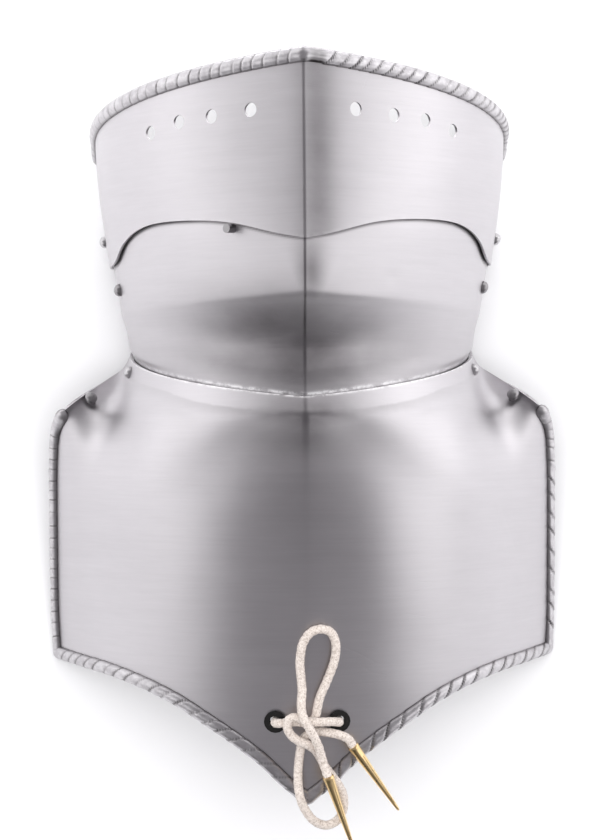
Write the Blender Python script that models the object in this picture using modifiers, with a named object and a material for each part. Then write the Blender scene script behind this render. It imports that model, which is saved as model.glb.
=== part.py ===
# Steel bevor: chin and throat guard of three riveted plates, with a laced bib.
# It lies on its open back. X runs across, Y from the bib's point up to the rim, Z up through the front.

import bpy
import bmesh
import math
from mathutils import Matrix, Vector
from mathutils.bvhtree import BVHTree
from mathutils.geometry import interpolate_bezier

# Driving dimensions, in metres
SHEET = 0.0012
UPPER_HALF_WIDTH = 0.1022
CHIN_HALF_WIDTH = 0.0998
NECK_HALF_WIDTH = 0.0881
BIB_HALF_WIDTH = 0.1302
SIDE_HEIGHT = 0.0200
UPPER_DEPTH = 0.1400
CHIN_DEPTH = 0.1380
NECK_DEPTH = 0.1120
BIB_FALL = 0.1074
RIM_RISE = 0.0805
PIVOT_TO_NECK = 0.0690
NECK_TO_POINT = 0.2145
RIM_ROLL = 0.0072
BIB_ROLL = 0.0066
COLLAR_GAP = 0.0006
BEHIND_UPPER = 0.0044
BEHIND_COLLAR = 0.0030
KEEL_SLOPE = math.radians(33)
NECK_KEEL_SLOPE = math.radians(24)
BIB_PITCH = math.radians(12)

# Small pieces
BREATH_HOLE = 0.0070
RIVET_HEAD = 0.0066
RIVET_RISE = 0.0031
RIVET_SHANK = 0.0042
RIVET_BURR = 0.0064
BURR_THICKNESS = 0.0009
FIT = 0.0003
STUD = 0.0044
STUD_RISE = 0.0052
LEAF_WIDTH = 0.0090
LEAF_REACH = 0.0140
LEAF_THICKNESS = 0.0010
FIXING_PIN = 0.0030
EYELET = 0.0112
EYELET_BORE = 0.0060
EYELET_RISE = 0.0010
EYELET_WALL = 0.0006
LACE = 0.0045
AGLET_LENGTH = 0.0430
AGLET_MOUTH = 0.0054
AGLET_TIP = 0.0016

# Levels along Y. The model's length is centred on the origin.
LENGTH = RIM_RISE + PIVOT_TO_NECK + NECK_TO_POINT + RIM_ROLL / 2 + BIB_ROLL / 2
PIVOT_Y = LENGTH / 2 - RIM_ROLL / 2 - RIM_RISE
NECK_Y = PIVOT_Y - PIVOT_TO_NECK
PIVOT_Z = SIDE_HEIGHT

# Steps of the curves and grids
SECTION_STEPS = 11
REAR_STEPS = 2
UPPER_STEPS = 6
ROLL_RESOLUTION = 2
RIVET_SIDES = 12
DOME_STEPS = 3
EYELET_SIDES = 16
LEAF_STEPS = 6
DRILL_REACH = 5
ABOVE_ALL = 0.5
BESIDE_ALL = 0.5

# Pull of the section's curve at the keel and at the side, as shares of its width and depth
FRONT_PULL = 0.535
SIDE_PULL = 0.46

# Upper plate: height over the pivot as a share of the rim's rise, then width and depth shares.
UPPER_ROWS = (
    # height, width, depth
    (-0.19, 0.978, 1.004),
    (0.00, 1.000, 1.000),
    (0.28, 1.030, 0.998),
    (0.57, 1.047, 0.994),
    (1.05, 1.052, 0.990),
)

# Upper plate's lower edge: how far back from the keel, then height over the pivot.
UPPER_LOWER_EDGE = (
    # back, height
    (0.00, -0.092),
    (0.05, -0.060),
    (0.16, 0.022),
    (0.28, 0.053),
    (0.41, 0.049),
    (0.50, 0.011),
    (0.58, -0.051),
    (0.67, -0.142),
    (0.76, -0.170),
    (1.00, -0.170),
)
RIM_SIDE_DROP = 0.385
RIM_DROP_CURVE = 1.2
RIM_END_DROP = 0.15
RIM_END_CURVE = 1.6

# Chin plate: height over the pivot as a share of pivot to neck, shares of width and depth,
# the rise of the row at the back as a share of pivot to neck, and how far it is neck (0 to 1).
CHIN_ROWS = (
    # height, width, depth, rise, neck
    (0.380, 0.980, 0.977, -0.20, 0.0),
    (0.190, 0.994, 0.993, -0.10, 0.0),
    (0.000, 1.000, 1.000, 0.00, 0.0),
    (-0.220, 0.975, 0.990, -0.04, 0.0),
    (-0.420, 0.960, 0.991, -0.10, 0.1),
    (-0.490, 0.964, 0.997, -0.10, 0.2),
    (-0.560, 0.979, 1.000, -0.06, 0.4),
    (-0.700, 1.000, 0.991, 0.02, 0.7),
    (-0.850, 1.035, 1.004, 0.16, 1.0),
    (-1.000, 1.030, 0.988, 0.30, 1.0),
    (-1.110, 1.022, 0.992, 0.36, 1.0),
    (-1.190, 1.000, 0.998, 0.40, 1.0),
    (-1.290, 0.998, 0.984, 0.40, 1.0),
    (-1.370, 0.994, 0.968, 0.40, 1.0),
)
CHIN_ROW_SPACING = 0.13

# Collar: crease height at points from the keel (0) to the back (1), from the neck rivets
# as a share of pivot to neck, with the crease's stand-off from the throat.
COLLAR_CREASE = (
    # back, height, stand_off
    (0.00, -0.326, 0.0042),
    (0.07, -0.316, 0.0040),
    (0.27, -0.251, 0.0030),
    (0.40, -0.157, 0.0022),
    (0.60, -0.107, 0.0014),
    (0.72, -0.090, 0.0010),
    (0.85, -0.020, 0.0016),
    (1.00, 0.066, 0.0030),
)
COLLAR_TOP = -0.203
COLLAR_TOP_RISE = 0.40

# Bib outline: half of it, from the point round the lower corner to the shoulder.
BIB_OUTLINE = (
    # across, down
    (0.000, 1.000),
    (0.084, 0.958),
    (0.177, 0.904),
    (0.283, 0.856),
    (0.386, 0.815),
    (0.495, 0.774),
    (0.624, 0.739),
    (0.760, 0.714),
    (0.879, 0.701),
    (1.000, 0.689),
    (1.006, 0.600),
    (1.006, 0.505),
    (1.004, 0.410),
    (1.002, 0.310),
    (0.998, 0.215),
    (0.985, 0.140),
    (0.945, 0.090),
)
BIB_ROW_STEPS = 11
BIB_ROW_SPREAD = 1.25
BIB_KEEL_SHARE = 0.174
BIB_CURVE = 2.61
DIP_FADE_FRONT = 7.0
DIP_FADE_BACK = 1.4

# Breath holes: across as a share of the half width, height as a share of the rim's rise.
BREATH_HOLES = (
    # across, height
    (0.250, 0.692),
    (0.438, 0.673),
    (0.597, 0.659),
    (0.740, 0.613),
)

# Where the small pieces sit
STOP_BELOW_PIVOT = 0.0262
STOP_Z = 0.0400
NECK_PIVOT_Z = 0.0350
SHOULDER_ALONG = 0.547
SHOULDER_INSET = 0.0059
EYELET_ACROSS = 0.0158
EYELET_BELOW_NECK = 0.1752
STUD_ACROSS = 0.0345
STUD_GAP = 0.0004

# The lace's route, chosen by hand, from one aglet through the bow to the other: across, above the
# eyelets' line, and out from the bib's front.
LACE_ROUTE = (
    # across, above, out
    (0.0100, -0.0270, 0.0116),
    (0.0088, -0.0235, 0.0108),
    (0.0074, -0.0190, 0.0102),
    (0.0056, -0.0125, 0.0112),
    (0.0034, -0.0070, 0.0124),
    (0.0010, -0.0025, 0.0128),
    (-0.0014, 0.0018, 0.0122),
    (-0.0028, 0.0058, 0.0098),
    (-0.0030, 0.0105, 0.0064),
    (-0.0025, 0.0160, 0.0036),
    (-0.0030, 0.0225, 0.0028),
    (-0.0035, 0.0295, 0.0026),
    (-0.0030, 0.0350, 0.0026),
    (-0.0018, 0.0400, 0.0026),
    (0.0018, 0.0450, 0.0026),
    (0.0070, 0.0467, 0.0026),
    (0.0120, 0.0447, 0.0026),
    (0.0143, 0.0388, 0.0026),
    (0.0135, 0.0305, 0.0026),
    (0.0100, 0.0210, 0.0026),
    (0.0065, 0.0130, 0.0026),
    (0.0050, 0.0070, 0.0026),
    (0.0038, 0.0022, 0.0026),
    (0.0002, -0.0004, 0.0026),
    (-0.0045, 0.0000, 0.0026),
    (-0.0090, 0.0000, 0.0034),
    (-0.0132, -0.0004, 0.0048),
    (-0.0157, -0.0006, 0.0030),
    (-0.0158, -0.0001, 0.0000),
    (-0.0151, 0.0006, -0.0035),
    (-0.0138, 0.0012, -0.0075),
    (-0.0100, 0.0014, -0.0115),
    (-0.0040, 0.0014, -0.0138),
    (0.0040, 0.0014, -0.0138),
    (0.0100, 0.0014, -0.0115),
    (0.0138, 0.0012, -0.0075),
    (0.0151, 0.0006, -0.0035),
    (0.0158, -0.0001, 0.0000),
    (0.0157, -0.0004, 0.0030),
    (0.0132, 0.0002, 0.0058),
    (0.0090, 0.0004, 0.0072),
    (0.0040, 0.0004, 0.0076),
    (-0.0010, 0.0010, 0.0076),
    (-0.0056, 0.0028, 0.0078),
    (-0.0090, 0.0020, 0.0084),
    (-0.0100, -0.0020, 0.0086),
    (-0.0080, -0.0062, 0.0082),
    (-0.0040, -0.0092, 0.0078),
    (0.0004, -0.0112, 0.0072),
    (0.0040, -0.0142, 0.0050),
    (0.0064, -0.0184, 0.0032),
    (0.0088, -0.0228, 0.0040),
    (0.0118, -0.0268, 0.0062),
    (0.0152, -0.0318, 0.0064),
    (0.0178, -0.0378, 0.0048),
    (0.0178, -0.0448, 0.0034),
    (0.0148, -0.0506, 0.0026),
    (0.0090, -0.0530, 0.0026),
    (0.0028, -0.0500, 0.0044),
    (-0.0020, -0.0430, 0.0064),
    (-0.0042, -0.0360, 0.0066),
    (-0.0048, -0.0290, 0.0044),
    (-0.0045, -0.0220, 0.0027),
    (-0.0036, -0.0150, 0.0026),
    (-0.0022, -0.0092, 0.0026),
    (0.0012, -0.0058, 0.0026),
    (0.0058, -0.0050, 0.0028),
    (0.0110, -0.0054, 0.0050),
    (0.0166, -0.0068, 0.0062),
    (0.0203, -0.0088, 0.0068),
    (0.0227, -0.0125, 0.0070),
)
LACE_POINTS = 80
LACE_RESOLUTION = 2
AGLET_DROOP = math.radians(20)
AGLET_SIDES = 12
AGLET_COLLAR = 0.12
LACE_FINE_STEPS = 9
SEAT_PROBES = 16
PROBE_START = 0.01
FRONT_SHARE = 0.5
HALVINGS = 24
CUTTER_SIDES = 20


def clear_scene():
    for old in list(bpy.data.objects):
        bpy.data.objects.remove(old, do_unlink=True)


def slope_at(rows, k, column):
    """Slope of a table's column at one of its rows."""
    before = max(k - 1, 0)
    after = min(k + 1, len(rows) - 1)
    rise = rows[after][column] - rows[before][column]
    return rise / (rows[after][0] - rows[before][0])


def between(rows, at, column):
    """A table's column at a place between two rows, read from a smooth curve."""
    rising = rows[-1][0] > rows[0][0]
    k = 0
    while k < len(rows) - 2 and (at > rows[k + 1][0]) == rising and at != rows[k + 1][0]:
        k += 1
    span = rows[k + 1][0] - rows[k][0]
    start = rows[k][column]
    step = rows[k + 1][column] - start
    t = min(max((at - rows[k][0]) / span, 0.0), 1.0)
    lean_in = slope_at(rows, k, column) * span - step
    lean_out = step - slope_at(rows, k + 1, column) * span
    return start + step * t + t * (1 - t) * (lean_in * (1 - t) + lean_out * t)


def section_point(share, half_width, depth, keel_slope, rear_z):
    """Point of a keeled half section: an arch from the keel to the side, then straight back."""
    arch_share = SECTION_STEPS / (SECTION_STEPS + REAR_STEPS)
    if share > arch_share:
        back = (share - arch_share) / (1 - arch_share)
        return half_width, SIDE_HEIGHT + (rear_z - SIDE_HEIGHT) * back
    t = share / arch_share
    front_pull = FRONT_PULL * half_width
    side_pull = SIDE_PULL * depth
    ends = ((1 - t) ** 3, 3 * (1 - t) ** 2 * t, 3 * (1 - t) * t * t, t ** 3)
    across = (0.0, front_pull * math.cos(keel_slope), half_width, half_width)
    up = (depth, depth - front_pull * math.sin(keel_slope), side_pull, 0.0)
    x = sum(a * b for a, b in zip(ends, across))
    z = sum(a * b for a, b in zip(ends, up))
    return x, SIDE_HEIGHT + z


def column_shares():
    steps = SECTION_STEPS + REAR_STEPS
    return [k / steps for k in range(steps + 1)]


def mirror_x(vector):
    return Vector((-vector.x, vector.y, vector.z))


def grid_object(name, columns, collection):
    """Open surface from columns of points."""
    mesh = bpy.data.meshes.new(name)
    bm = bmesh.new()
    grid = [[bm.verts.new(point) for point in column] for column in columns]
    for left, right in zip(grid, grid[1:]):
        for corners in zip(left, right, right[1:], left[1:]):
            bm.faces.new(corners)
    bm.to_mesh(mesh)
    bm.free()
    surface = bpy.data.objects.new(name, mesh)
    collection.objects.link(surface)
    return surface


def thicken(piece, thickness):
    solidify = piece.modifiers.new("sheet", "SOLIDIFY")
    solidify.thickness = thickness
    solidify.offset = -1
    solidify.use_even_offset = True


def mirror_half(piece):
    mirror = piece.modifiers.new("other half", "MIRROR")
    mirror.use_clip = True
    mirror.merge_threshold = 0.0001


def evaluated_mesh(piece):
    bpy.context.view_layer.update()
    depsgraph = bpy.context.evaluated_depsgraph_get()
    return bpy.data.meshes.new_from_object(piece.evaluated_get(depsgraph))


def tube(name, points, diameter, resolution, collection):
    """Round bar through the points, as a closed mesh."""
    curve = bpy.data.curves.new(name, "CURVE")
    curve.dimensions = "3D"
    curve.bevel_depth = diameter / 2
    curve.bevel_resolution = resolution
    curve.use_fill_caps = True
    spline = curve.splines.new("POLY")
    spline.points.add(len(points) - 1)
    for spot, point in zip(spline.points, points):
        spot.co = (*point, 1)
    drawn = bpy.data.objects.new(name + "_line", curve)
    collection.objects.link(drawn)
    mesh = evaluated_mesh(drawn)
    bm = bmesh.new()
    bm.from_mesh(mesh)
    bmesh.ops.remove_doubles(bm, verts=bm.verts, dist=0.00001)
    bm.to_mesh(mesh)
    bm.free()
    bar = bpy.data.objects.new(name, mesh)
    bar.matrix_world = drawn.matrix_world
    collection.objects.link(bar)
    bpy.data.objects.remove(drawn, do_unlink=True)
    return bar


def turned(name, profile, steps, place, collection, closed=False):
    """Turned piece: its profile, (radius, height) rows, spun about its own Z axis."""
    mesh = bpy.data.meshes.new(name)
    bm = bmesh.new()
    line = [bm.verts.new((radius, 0, height)) for radius, height in profile]
    for a, b in zip(line, line[1:]):
        bm.edges.new((a, b))
    if closed:
        bm.edges.new((line[-1], line[0]))
    bm.to_mesh(mesh)
    bm.free()
    piece = bpy.data.objects.new(name, mesh)
    piece.matrix_world = place
    collection.objects.link(piece)
    spin = piece.modifiers.new("turning", "SCREW")
    spin.steps = steps
    spin.render_steps = steps
    spin.use_merge_vertices = True
    spin.merge_threshold = 0.00001
    return piece


def bar_at(name, place, diameter, low, high, collection):
    """Round bar on the Z axis of a place, from low to high."""
    bm = bmesh.new()
    bmesh.ops.create_cone(
        bm,
        cap_ends=True,
        segments=CUTTER_SIDES,
        radius1=diameter / 2,
        radius2=diameter / 2,
        depth=high - low,
    )
    mesh = bpy.data.meshes.new(name)
    bm.to_mesh(mesh)
    bm.free()
    bar = bpy.data.objects.new(name, mesh)
    bar.matrix_world = place @ Matrix.Translation((0, 0, (low + high) / 2))
    collection.objects.link(bar)
    return bar


def combine(piece, other, operation):
    """Boolean of a piece with a guide, which is then drawn as wire only."""
    boolean = piece.modifiers.new(other.name, "BOOLEAN")
    boolean.object = other
    boolean.operation = operation
    boolean.solver = "EXACT"
    other.hide_render = True
    other.display_type = "WIRE"


def drill(piece, name, place, diameter, cutters):
    reach = DRILL_REACH * SHEET
    combine(piece, bar_at(name, place, diameter, -reach, reach, cutters), "DIFFERENCE")


def land(plate, start, direction):
    """Place where a straight line meets a plate: Z points out of the surface round there."""
    tree = BVHTree.FromObject(plate, bpy.context.evaluated_depsgraph_get())
    start = Vector(start)
    direction = Vector(direction)
    sideways = direction.orthogonal().normalized() * RIVET_HEAD / 2
    normal = Vector()
    for k in range(SEAT_PROBES):
        turn = Matrix.Rotation(math.radians(360) * k / SEAT_PROBES, 3, direction)
        normal += tree.ray_cast(start + turn @ sideways, direction)[1]
    point = tree.ray_cast(start, direction)[0]
    turn = Vector((0, 0, 1)).rotation_difference(normal)
    return Matrix.Translation(point) @ turn.to_matrix().to_4x4()


def land_from_front(plate, x, y):
    return land(plate, (x, y, ABOVE_ALL), (0, 0, -1))


def land_from_side(plate, side, y, z):
    return land(plate, (side * BESIDE_ALL, y, z), (-side, 0, 0))


def metal(name, colour, roughness, metallic=1.0):
    material = bpy.data.materials.new(name)
    material.use_nodes = True
    shader = material.node_tree.nodes["Principled BSDF"]
    shader.inputs["Base Color"].default_value = (*colour, 1)
    shader.inputs["Roughness"].default_value = roughness
    shader.inputs["Metallic"].default_value = metallic
    return material


def finish(piece, material, parent, smooth_angle=35):
    piece.data.materials.clear()
    piece.data.materials.append(material)
    if piece.data.polygons:
        piece.data.shade_smooth()
        piece.data.set_sharp_from_angle(angle=math.radians(smooth_angle))
    place = piece.matrix_world.copy()
    piece.parent = parent
    piece.matrix_parent_inverse = parent.matrix_world.inverted()
    piece.matrix_world = place


# Upper plate


def upper_surface(share, height):
    """Outer surface of the upper plate: share runs from the keel back, height is a Y value."""
    level = (height - PIVOT_Y) / RIM_RISE
    width = UPPER_HALF_WIDTH * between(UPPER_ROWS, level, 1)
    depth = UPPER_DEPTH * between(UPPER_ROWS, level, 2)
    x, z = section_point(share, width, depth, KEEL_SLOPE, BEHIND_UPPER)
    return Vector((x, height, z))


def upper_column(share):
    """One column of the upper plate, from its lower edge up to the rim."""
    z = upper_surface(share, PIVOT_Y).z
    back = max(0.0, 1 - z / (SIDE_HEIGHT + UPPER_DEPTH))
    behind = max(0.0, 1 - z / SIDE_HEIGHT)
    fall = RIM_SIDE_DROP * back ** RIM_DROP_CURVE + RIM_END_DROP * behind ** RIM_END_CURVE
    low = PIVOT_Y + RIM_RISE * between(UPPER_LOWER_EDGE, back, 1)
    high = PIVOT_Y + RIM_RISE * (1 - fall)
    return [upper_surface(share, low + (high - low) * k / UPPER_STEPS) for k in range(UPPER_STEPS + 1)]


def lower_edge_at(x):
    """Height of the upper plate's lower edge at a distance from the keel."""
    near, far = 0.0, FRONT_SHARE
    for _ in range(HALVINGS):
        middle = (near + far) / 2
        if upper_column(middle)[0].x < x:
            near = middle
        else:
            far = middle
    return upper_column(near)[0].y


def rolled_edge(plate, edge, diameter, cutters):
    """Rolls the sheet's edge round a wire: a bar along the edge and its mirror image, joined on."""
    path = [mirror_x(point) for point in reversed(edge[1:])] + edge
    combine(plate, tube(plate.name + "_roll", path, diameter, ROLL_RESOLUTION, cutters), "UNION")


def make_upper_plate(parts, cutters):
    columns = [upper_column(share) for share in column_shares()]
    plate = grid_object("upper_plate", columns, parts)
    mirror_half(plate)
    thicken(plate, SHEET)
    rolled_edge(plate, [column[-1] for column in columns], RIM_ROLL, cutters)
    return plate


def drill_breath_holes(plate, cutters):
    places = []
    for side, word in ((-1, "left"), (1, "right")):
        for k, (across, level) in enumerate(BREATH_HOLES, 1):
            place = land_from_front(plate, side * across * UPPER_HALF_WIDTH, PIVOT_Y + RIM_RISE * level)
            places.append((f"breath_hole_{word}_{k}", place))
    for name, place in places:
        drill(plate, name, place, BREATH_HOLE, cutters)


# Chin plate


def chin_surface(share, level):
    """Outer surface of the chin plate: level is a table height."""
    neck = between(CHIN_ROWS, level, 4)
    half_width = CHIN_HALF_WIDTH + (NECK_HALF_WIDTH - CHIN_HALF_WIDTH) * neck
    full_depth = CHIN_DEPTH + (NECK_DEPTH - CHIN_DEPTH) * neck
    slope = KEEL_SLOPE + (NECK_KEEL_SLOPE - KEEL_SLOPE) * neck
    width = half_width * between(CHIN_ROWS, level, 1)
    depth = full_depth * between(CHIN_ROWS, level, 2)
    x, z = section_point(share, width, depth, slope, 0.0)
    rise = between(CHIN_ROWS, level, 3) * (1 - z / (SIDE_HEIGHT + depth))
    return Vector((x, PIVOT_Y + PIVOT_TO_NECK * (level + rise), z))


def make_chin_plate(parts):
    levels = [CHIN_ROWS[-1][0]]
    for row, above in zip(CHIN_ROWS[:0:-1], CHIN_ROWS[-2::-1]):
        gap = above[0] - row[0]
        steps = math.ceil(gap / CHIN_ROW_SPACING)
        levels += [row[0] + gap * (k + 1) / steps for k in range(steps)]
    columns = [[chin_surface(share, level) for level in levels] for share in column_shares()]
    plate = grid_object("chin_plate", columns, parts)
    mirror_half(plate)
    thicken(plate, SHEET)
    return plate


# Bib plate


def collar_point(share, height, rise, stand_off):
    """The throat's section carried past the seam, set outwards by a stand-off."""
    depth = NECK_DEPTH + stand_off
    x, z = section_point(share, NECK_HALF_WIDTH + stand_off, depth, NECK_KEEL_SLOPE, BEHIND_COLLAR)
    back = 1 - z / (SIDE_HEIGHT + depth)
    return Vector((x, NECK_Y + PIVOT_TO_NECK * (height + rise * back), z))


def collar_top(share):
    return collar_point(share, COLLAR_TOP, COLLAR_TOP_RISE, SHEET + COLLAR_GAP)


def collar_crease(share):
    sheet_out = SHEET + COLLAR_GAP
    back = 1 - collar_point(share, 0.0, 0.0, sheet_out).z / (SIDE_HEIGHT + NECK_DEPTH + sheet_out)
    height = between(COLLAR_CREASE, back, 1)
    return collar_point(share, height, 0.0, sheet_out + between(COLLAR_CREASE, back, 2))


def bib_front(x, y):
    """Z of the bib's front, away from the neck."""
    crease = collar_crease(0.0)
    keel = crease.z - (crease.y - y) * math.tan(BIB_PITCH)
    across = abs(x) / BIB_HALF_WIDTH
    fall = BIB_KEEL_SHARE * across + (1 - BIB_KEEL_SHARE) * across ** BIB_CURVE
    return keel - BIB_FALL * fall


def outline_point(k):
    across, down = BIB_OUTLINE[k]
    x = BIB_HALF_WIDTH * across
    y = NECK_Y - NECK_TO_POINT * down
    return Vector((x, y, max(bib_front(x, y), BIB_ROLL / 2)))


def bib_column(k):
    """One column of the bib, from the outline up its rib to the crease and the collar's top."""
    share = k / (len(BIB_OUTLINE) - 1)
    crease = collar_crease(share)
    end = outline_point(k)
    dip = crease.z - bib_front(crease.x, crease.y)
    lift = end.z - bib_front(end.x, end.y)
    fade = DIP_FADE_FRONT + (DIP_FADE_BACK - DIP_FADE_FRONT) * share
    rib = []
    for step in range(BIB_ROW_STEPS + 1):
        t = (step / BIB_ROW_STEPS) ** BIB_ROW_SPREAD
        spot = crease.lerp(end, t)
        spot.z = bib_front(spot.x, spot.y) + dip * (1 - t) ** fade + lift * t * t
        rib.append(spot)
    top = collar_top(share)
    return rib[::-1] + [crease.lerp(top, 0.5), top]


def make_bib_plate(parts, cutters):
    ribs = range(len(BIB_OUTLINE))
    plate = grid_object("bib_plate", [bib_column(k) for k in ribs], parts)
    mirror_half(plate)
    thicken(plate, SHEET)
    rolled_edge(plate, [outline_point(k) for k in ribs], BIB_ROLL, cutters)
    return plate


# Rivets, catch and eyelets


def reach(plate, place, radius, side):
    """How far a plate's face reaches along a place's Z axis within a circle, on its outer (1) or
    inner (-1) side, read at rings of probes."""
    tree = BVHTree.FromObject(plate, bpy.context.evaluated_depsgraph_get())
    back = place.inverted()
    heights = []
    for k in range(SEAT_PROBES):
        turn = math.radians(360) * k / SEAT_PROBES
        for ring in (radius / 2, radius, radius + FIT):
            start = place @ Vector((ring * math.cos(turn), ring * math.sin(turn), side * PROBE_START))
            point = tree.ray_cast(start, place.to_3x3() @ Vector((0, 0, -side)))[0]
            heights.append((back @ point).z)
    return max(heights) if side > 0 else min(heights)


def rivet_profile(top, bottom):
    """Domed head on top, shank, and its end burred over at the bottom."""
    head = RIVET_HEAD / 2
    shank = RIVET_SHANK / 2
    burr = RIVET_BURR / 2
    turns = [math.radians(90) * k / DOME_STEPS for k in range(DOME_STEPS + 1)]
    dome = [(head * math.sin(turn), top + RIVET_RISE * math.cos(turn)) for turn in turns]
    dome[0] = (0, top + RIVET_RISE)
    return dome + [
        (shank, top),
        (shank, bottom),
        (burr, bottom),
        (burr, bottom - BURR_THICKNESS),
        (0, bottom - BURR_THICKNESS),
    ]


def eyelet_profile(top, bottom):
    flange = EYELET / 2
    bore = EYELET_BORE / 2
    barrel = bore + EYELET_WALL
    return [
        (bore, top + EYELET_RISE),
        (flange, top + EYELET_RISE),
        (flange, top),
        (barrel, top),
        (barrel, bottom),
        (flange - EYELET_WALL, bottom),
        (flange - EYELET_WALL, bottom - EYELET_RISE),
        (bore, bottom - EYELET_RISE),
    ]


def make_catch(chin, parts, cutters):
    """Stud, hidden leaf spring and its flush fixing pin, one piece."""
    x = -STUD_ACROSS
    y = lower_edge_at(STUD_ACROSS) - STUD / 2 - STUD_GAP
    stud_place = land_from_front(chin, x, y)
    pin_place = land_from_front(chin, x, y + LEAF_REACH)
    columns = []
    for across in (-0.5, 0.0, 0.5):
        column = []
        for k in range(LEAF_STEPS + 1):
            along = y - LEAF_WIDTH / 2 + (LEAF_REACH + LEAF_WIDTH) * k / LEAF_STEPS
            spot = land_from_front(chin, x + LEAF_WIDTH * across, along)
            column.append(spot @ Vector((0, 0, -SHEET - 2 * FIT)))
        columns.append(column)
    catch = grid_object("catch", columns, parts)
    thicken(catch, LEAF_THICKNESS)
    root = -SHEET - 2 * FIT - LEAF_THICKNESS / 2
    combine(catch, bar_at("stud", stud_place, STUD, root, STUD_RISE, cutters), "UNION")
    combine(catch, bar_at("fixing_pin", pin_place, FIXING_PIN, root, 0.0, cutters), "UNION")
    return catch, stud_place, pin_place


# Lace


def lace_point(across, above, out):
    y = NECK_Y - EYELET_BELOW_NECK + above
    return Vector((across, y, bib_front(across, y) + out))


def lace_line():
    """The route as points at even steps along a smooth curve."""
    route = [lace_point(*row) for row in LACE_ROUTE]
    ends = [2 * route[0] - route[1]] + route + [2 * route[-1] - route[-2]]
    fine = []
    for before, start, end, after in zip(ends, ends[1:], ends[2:], ends[3:]):
        lean_in = start + (end - before) / 6
        lean_out = end - (after - start) / 6
        fine += interpolate_bezier(start, lean_in, lean_out, end, LACE_FINE_STEPS)[:-1]
    fine.append(route[-1])
    lengths = [0.0]
    for a, b in zip(fine, fine[1:]):
        lengths.append(lengths[-1] + (b - a).length)
    line = []
    k = 0
    for step in range(LACE_POINTS):
        along = lengths[-1] * step / (LACE_POINTS - 1)
        while k < len(fine) - 2 and lengths[k + 1] < along:
            k += 1
        line.append(fine[k].lerp(fine[k + 1], (along - lengths[k]) / (lengths[k + 1] - lengths[k])))
    return line


def make_aglet(name, end, before, parts):
    """Metal tag past the lace's end, leaning down by the droop."""
    heading = end - before
    level = math.hypot(heading.x, heading.y)
    down = Vector((heading.x, heading.y, -level * math.tan(AGLET_DROOP))).normalized()
    gap = FIT + LACE / 2 * math.sin(heading.angle(down))
    place = Matrix.Translation(end + down * gap) @ down.to_track_quat("Z", "Y").to_matrix().to_4x4()
    profile = [
        (0, AGLET_LENGTH),
        (AGLET_TIP / 2, AGLET_LENGTH - AGLET_TIP / 2),
        (AGLET_MOUTH / 2, AGLET_LENGTH * AGLET_COLLAR),
        (AGLET_MOUTH / 2, 0),
        (0, 0),
    ]
    return turned(name, profile, AGLET_SIDES, place, parts)


def make_axis(name, y, z, parts):
    axis = bpy.data.objects.new(name, None)
    axis.location = (0, y, z)
    parts.objects.link(axis)
    return axis


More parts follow.
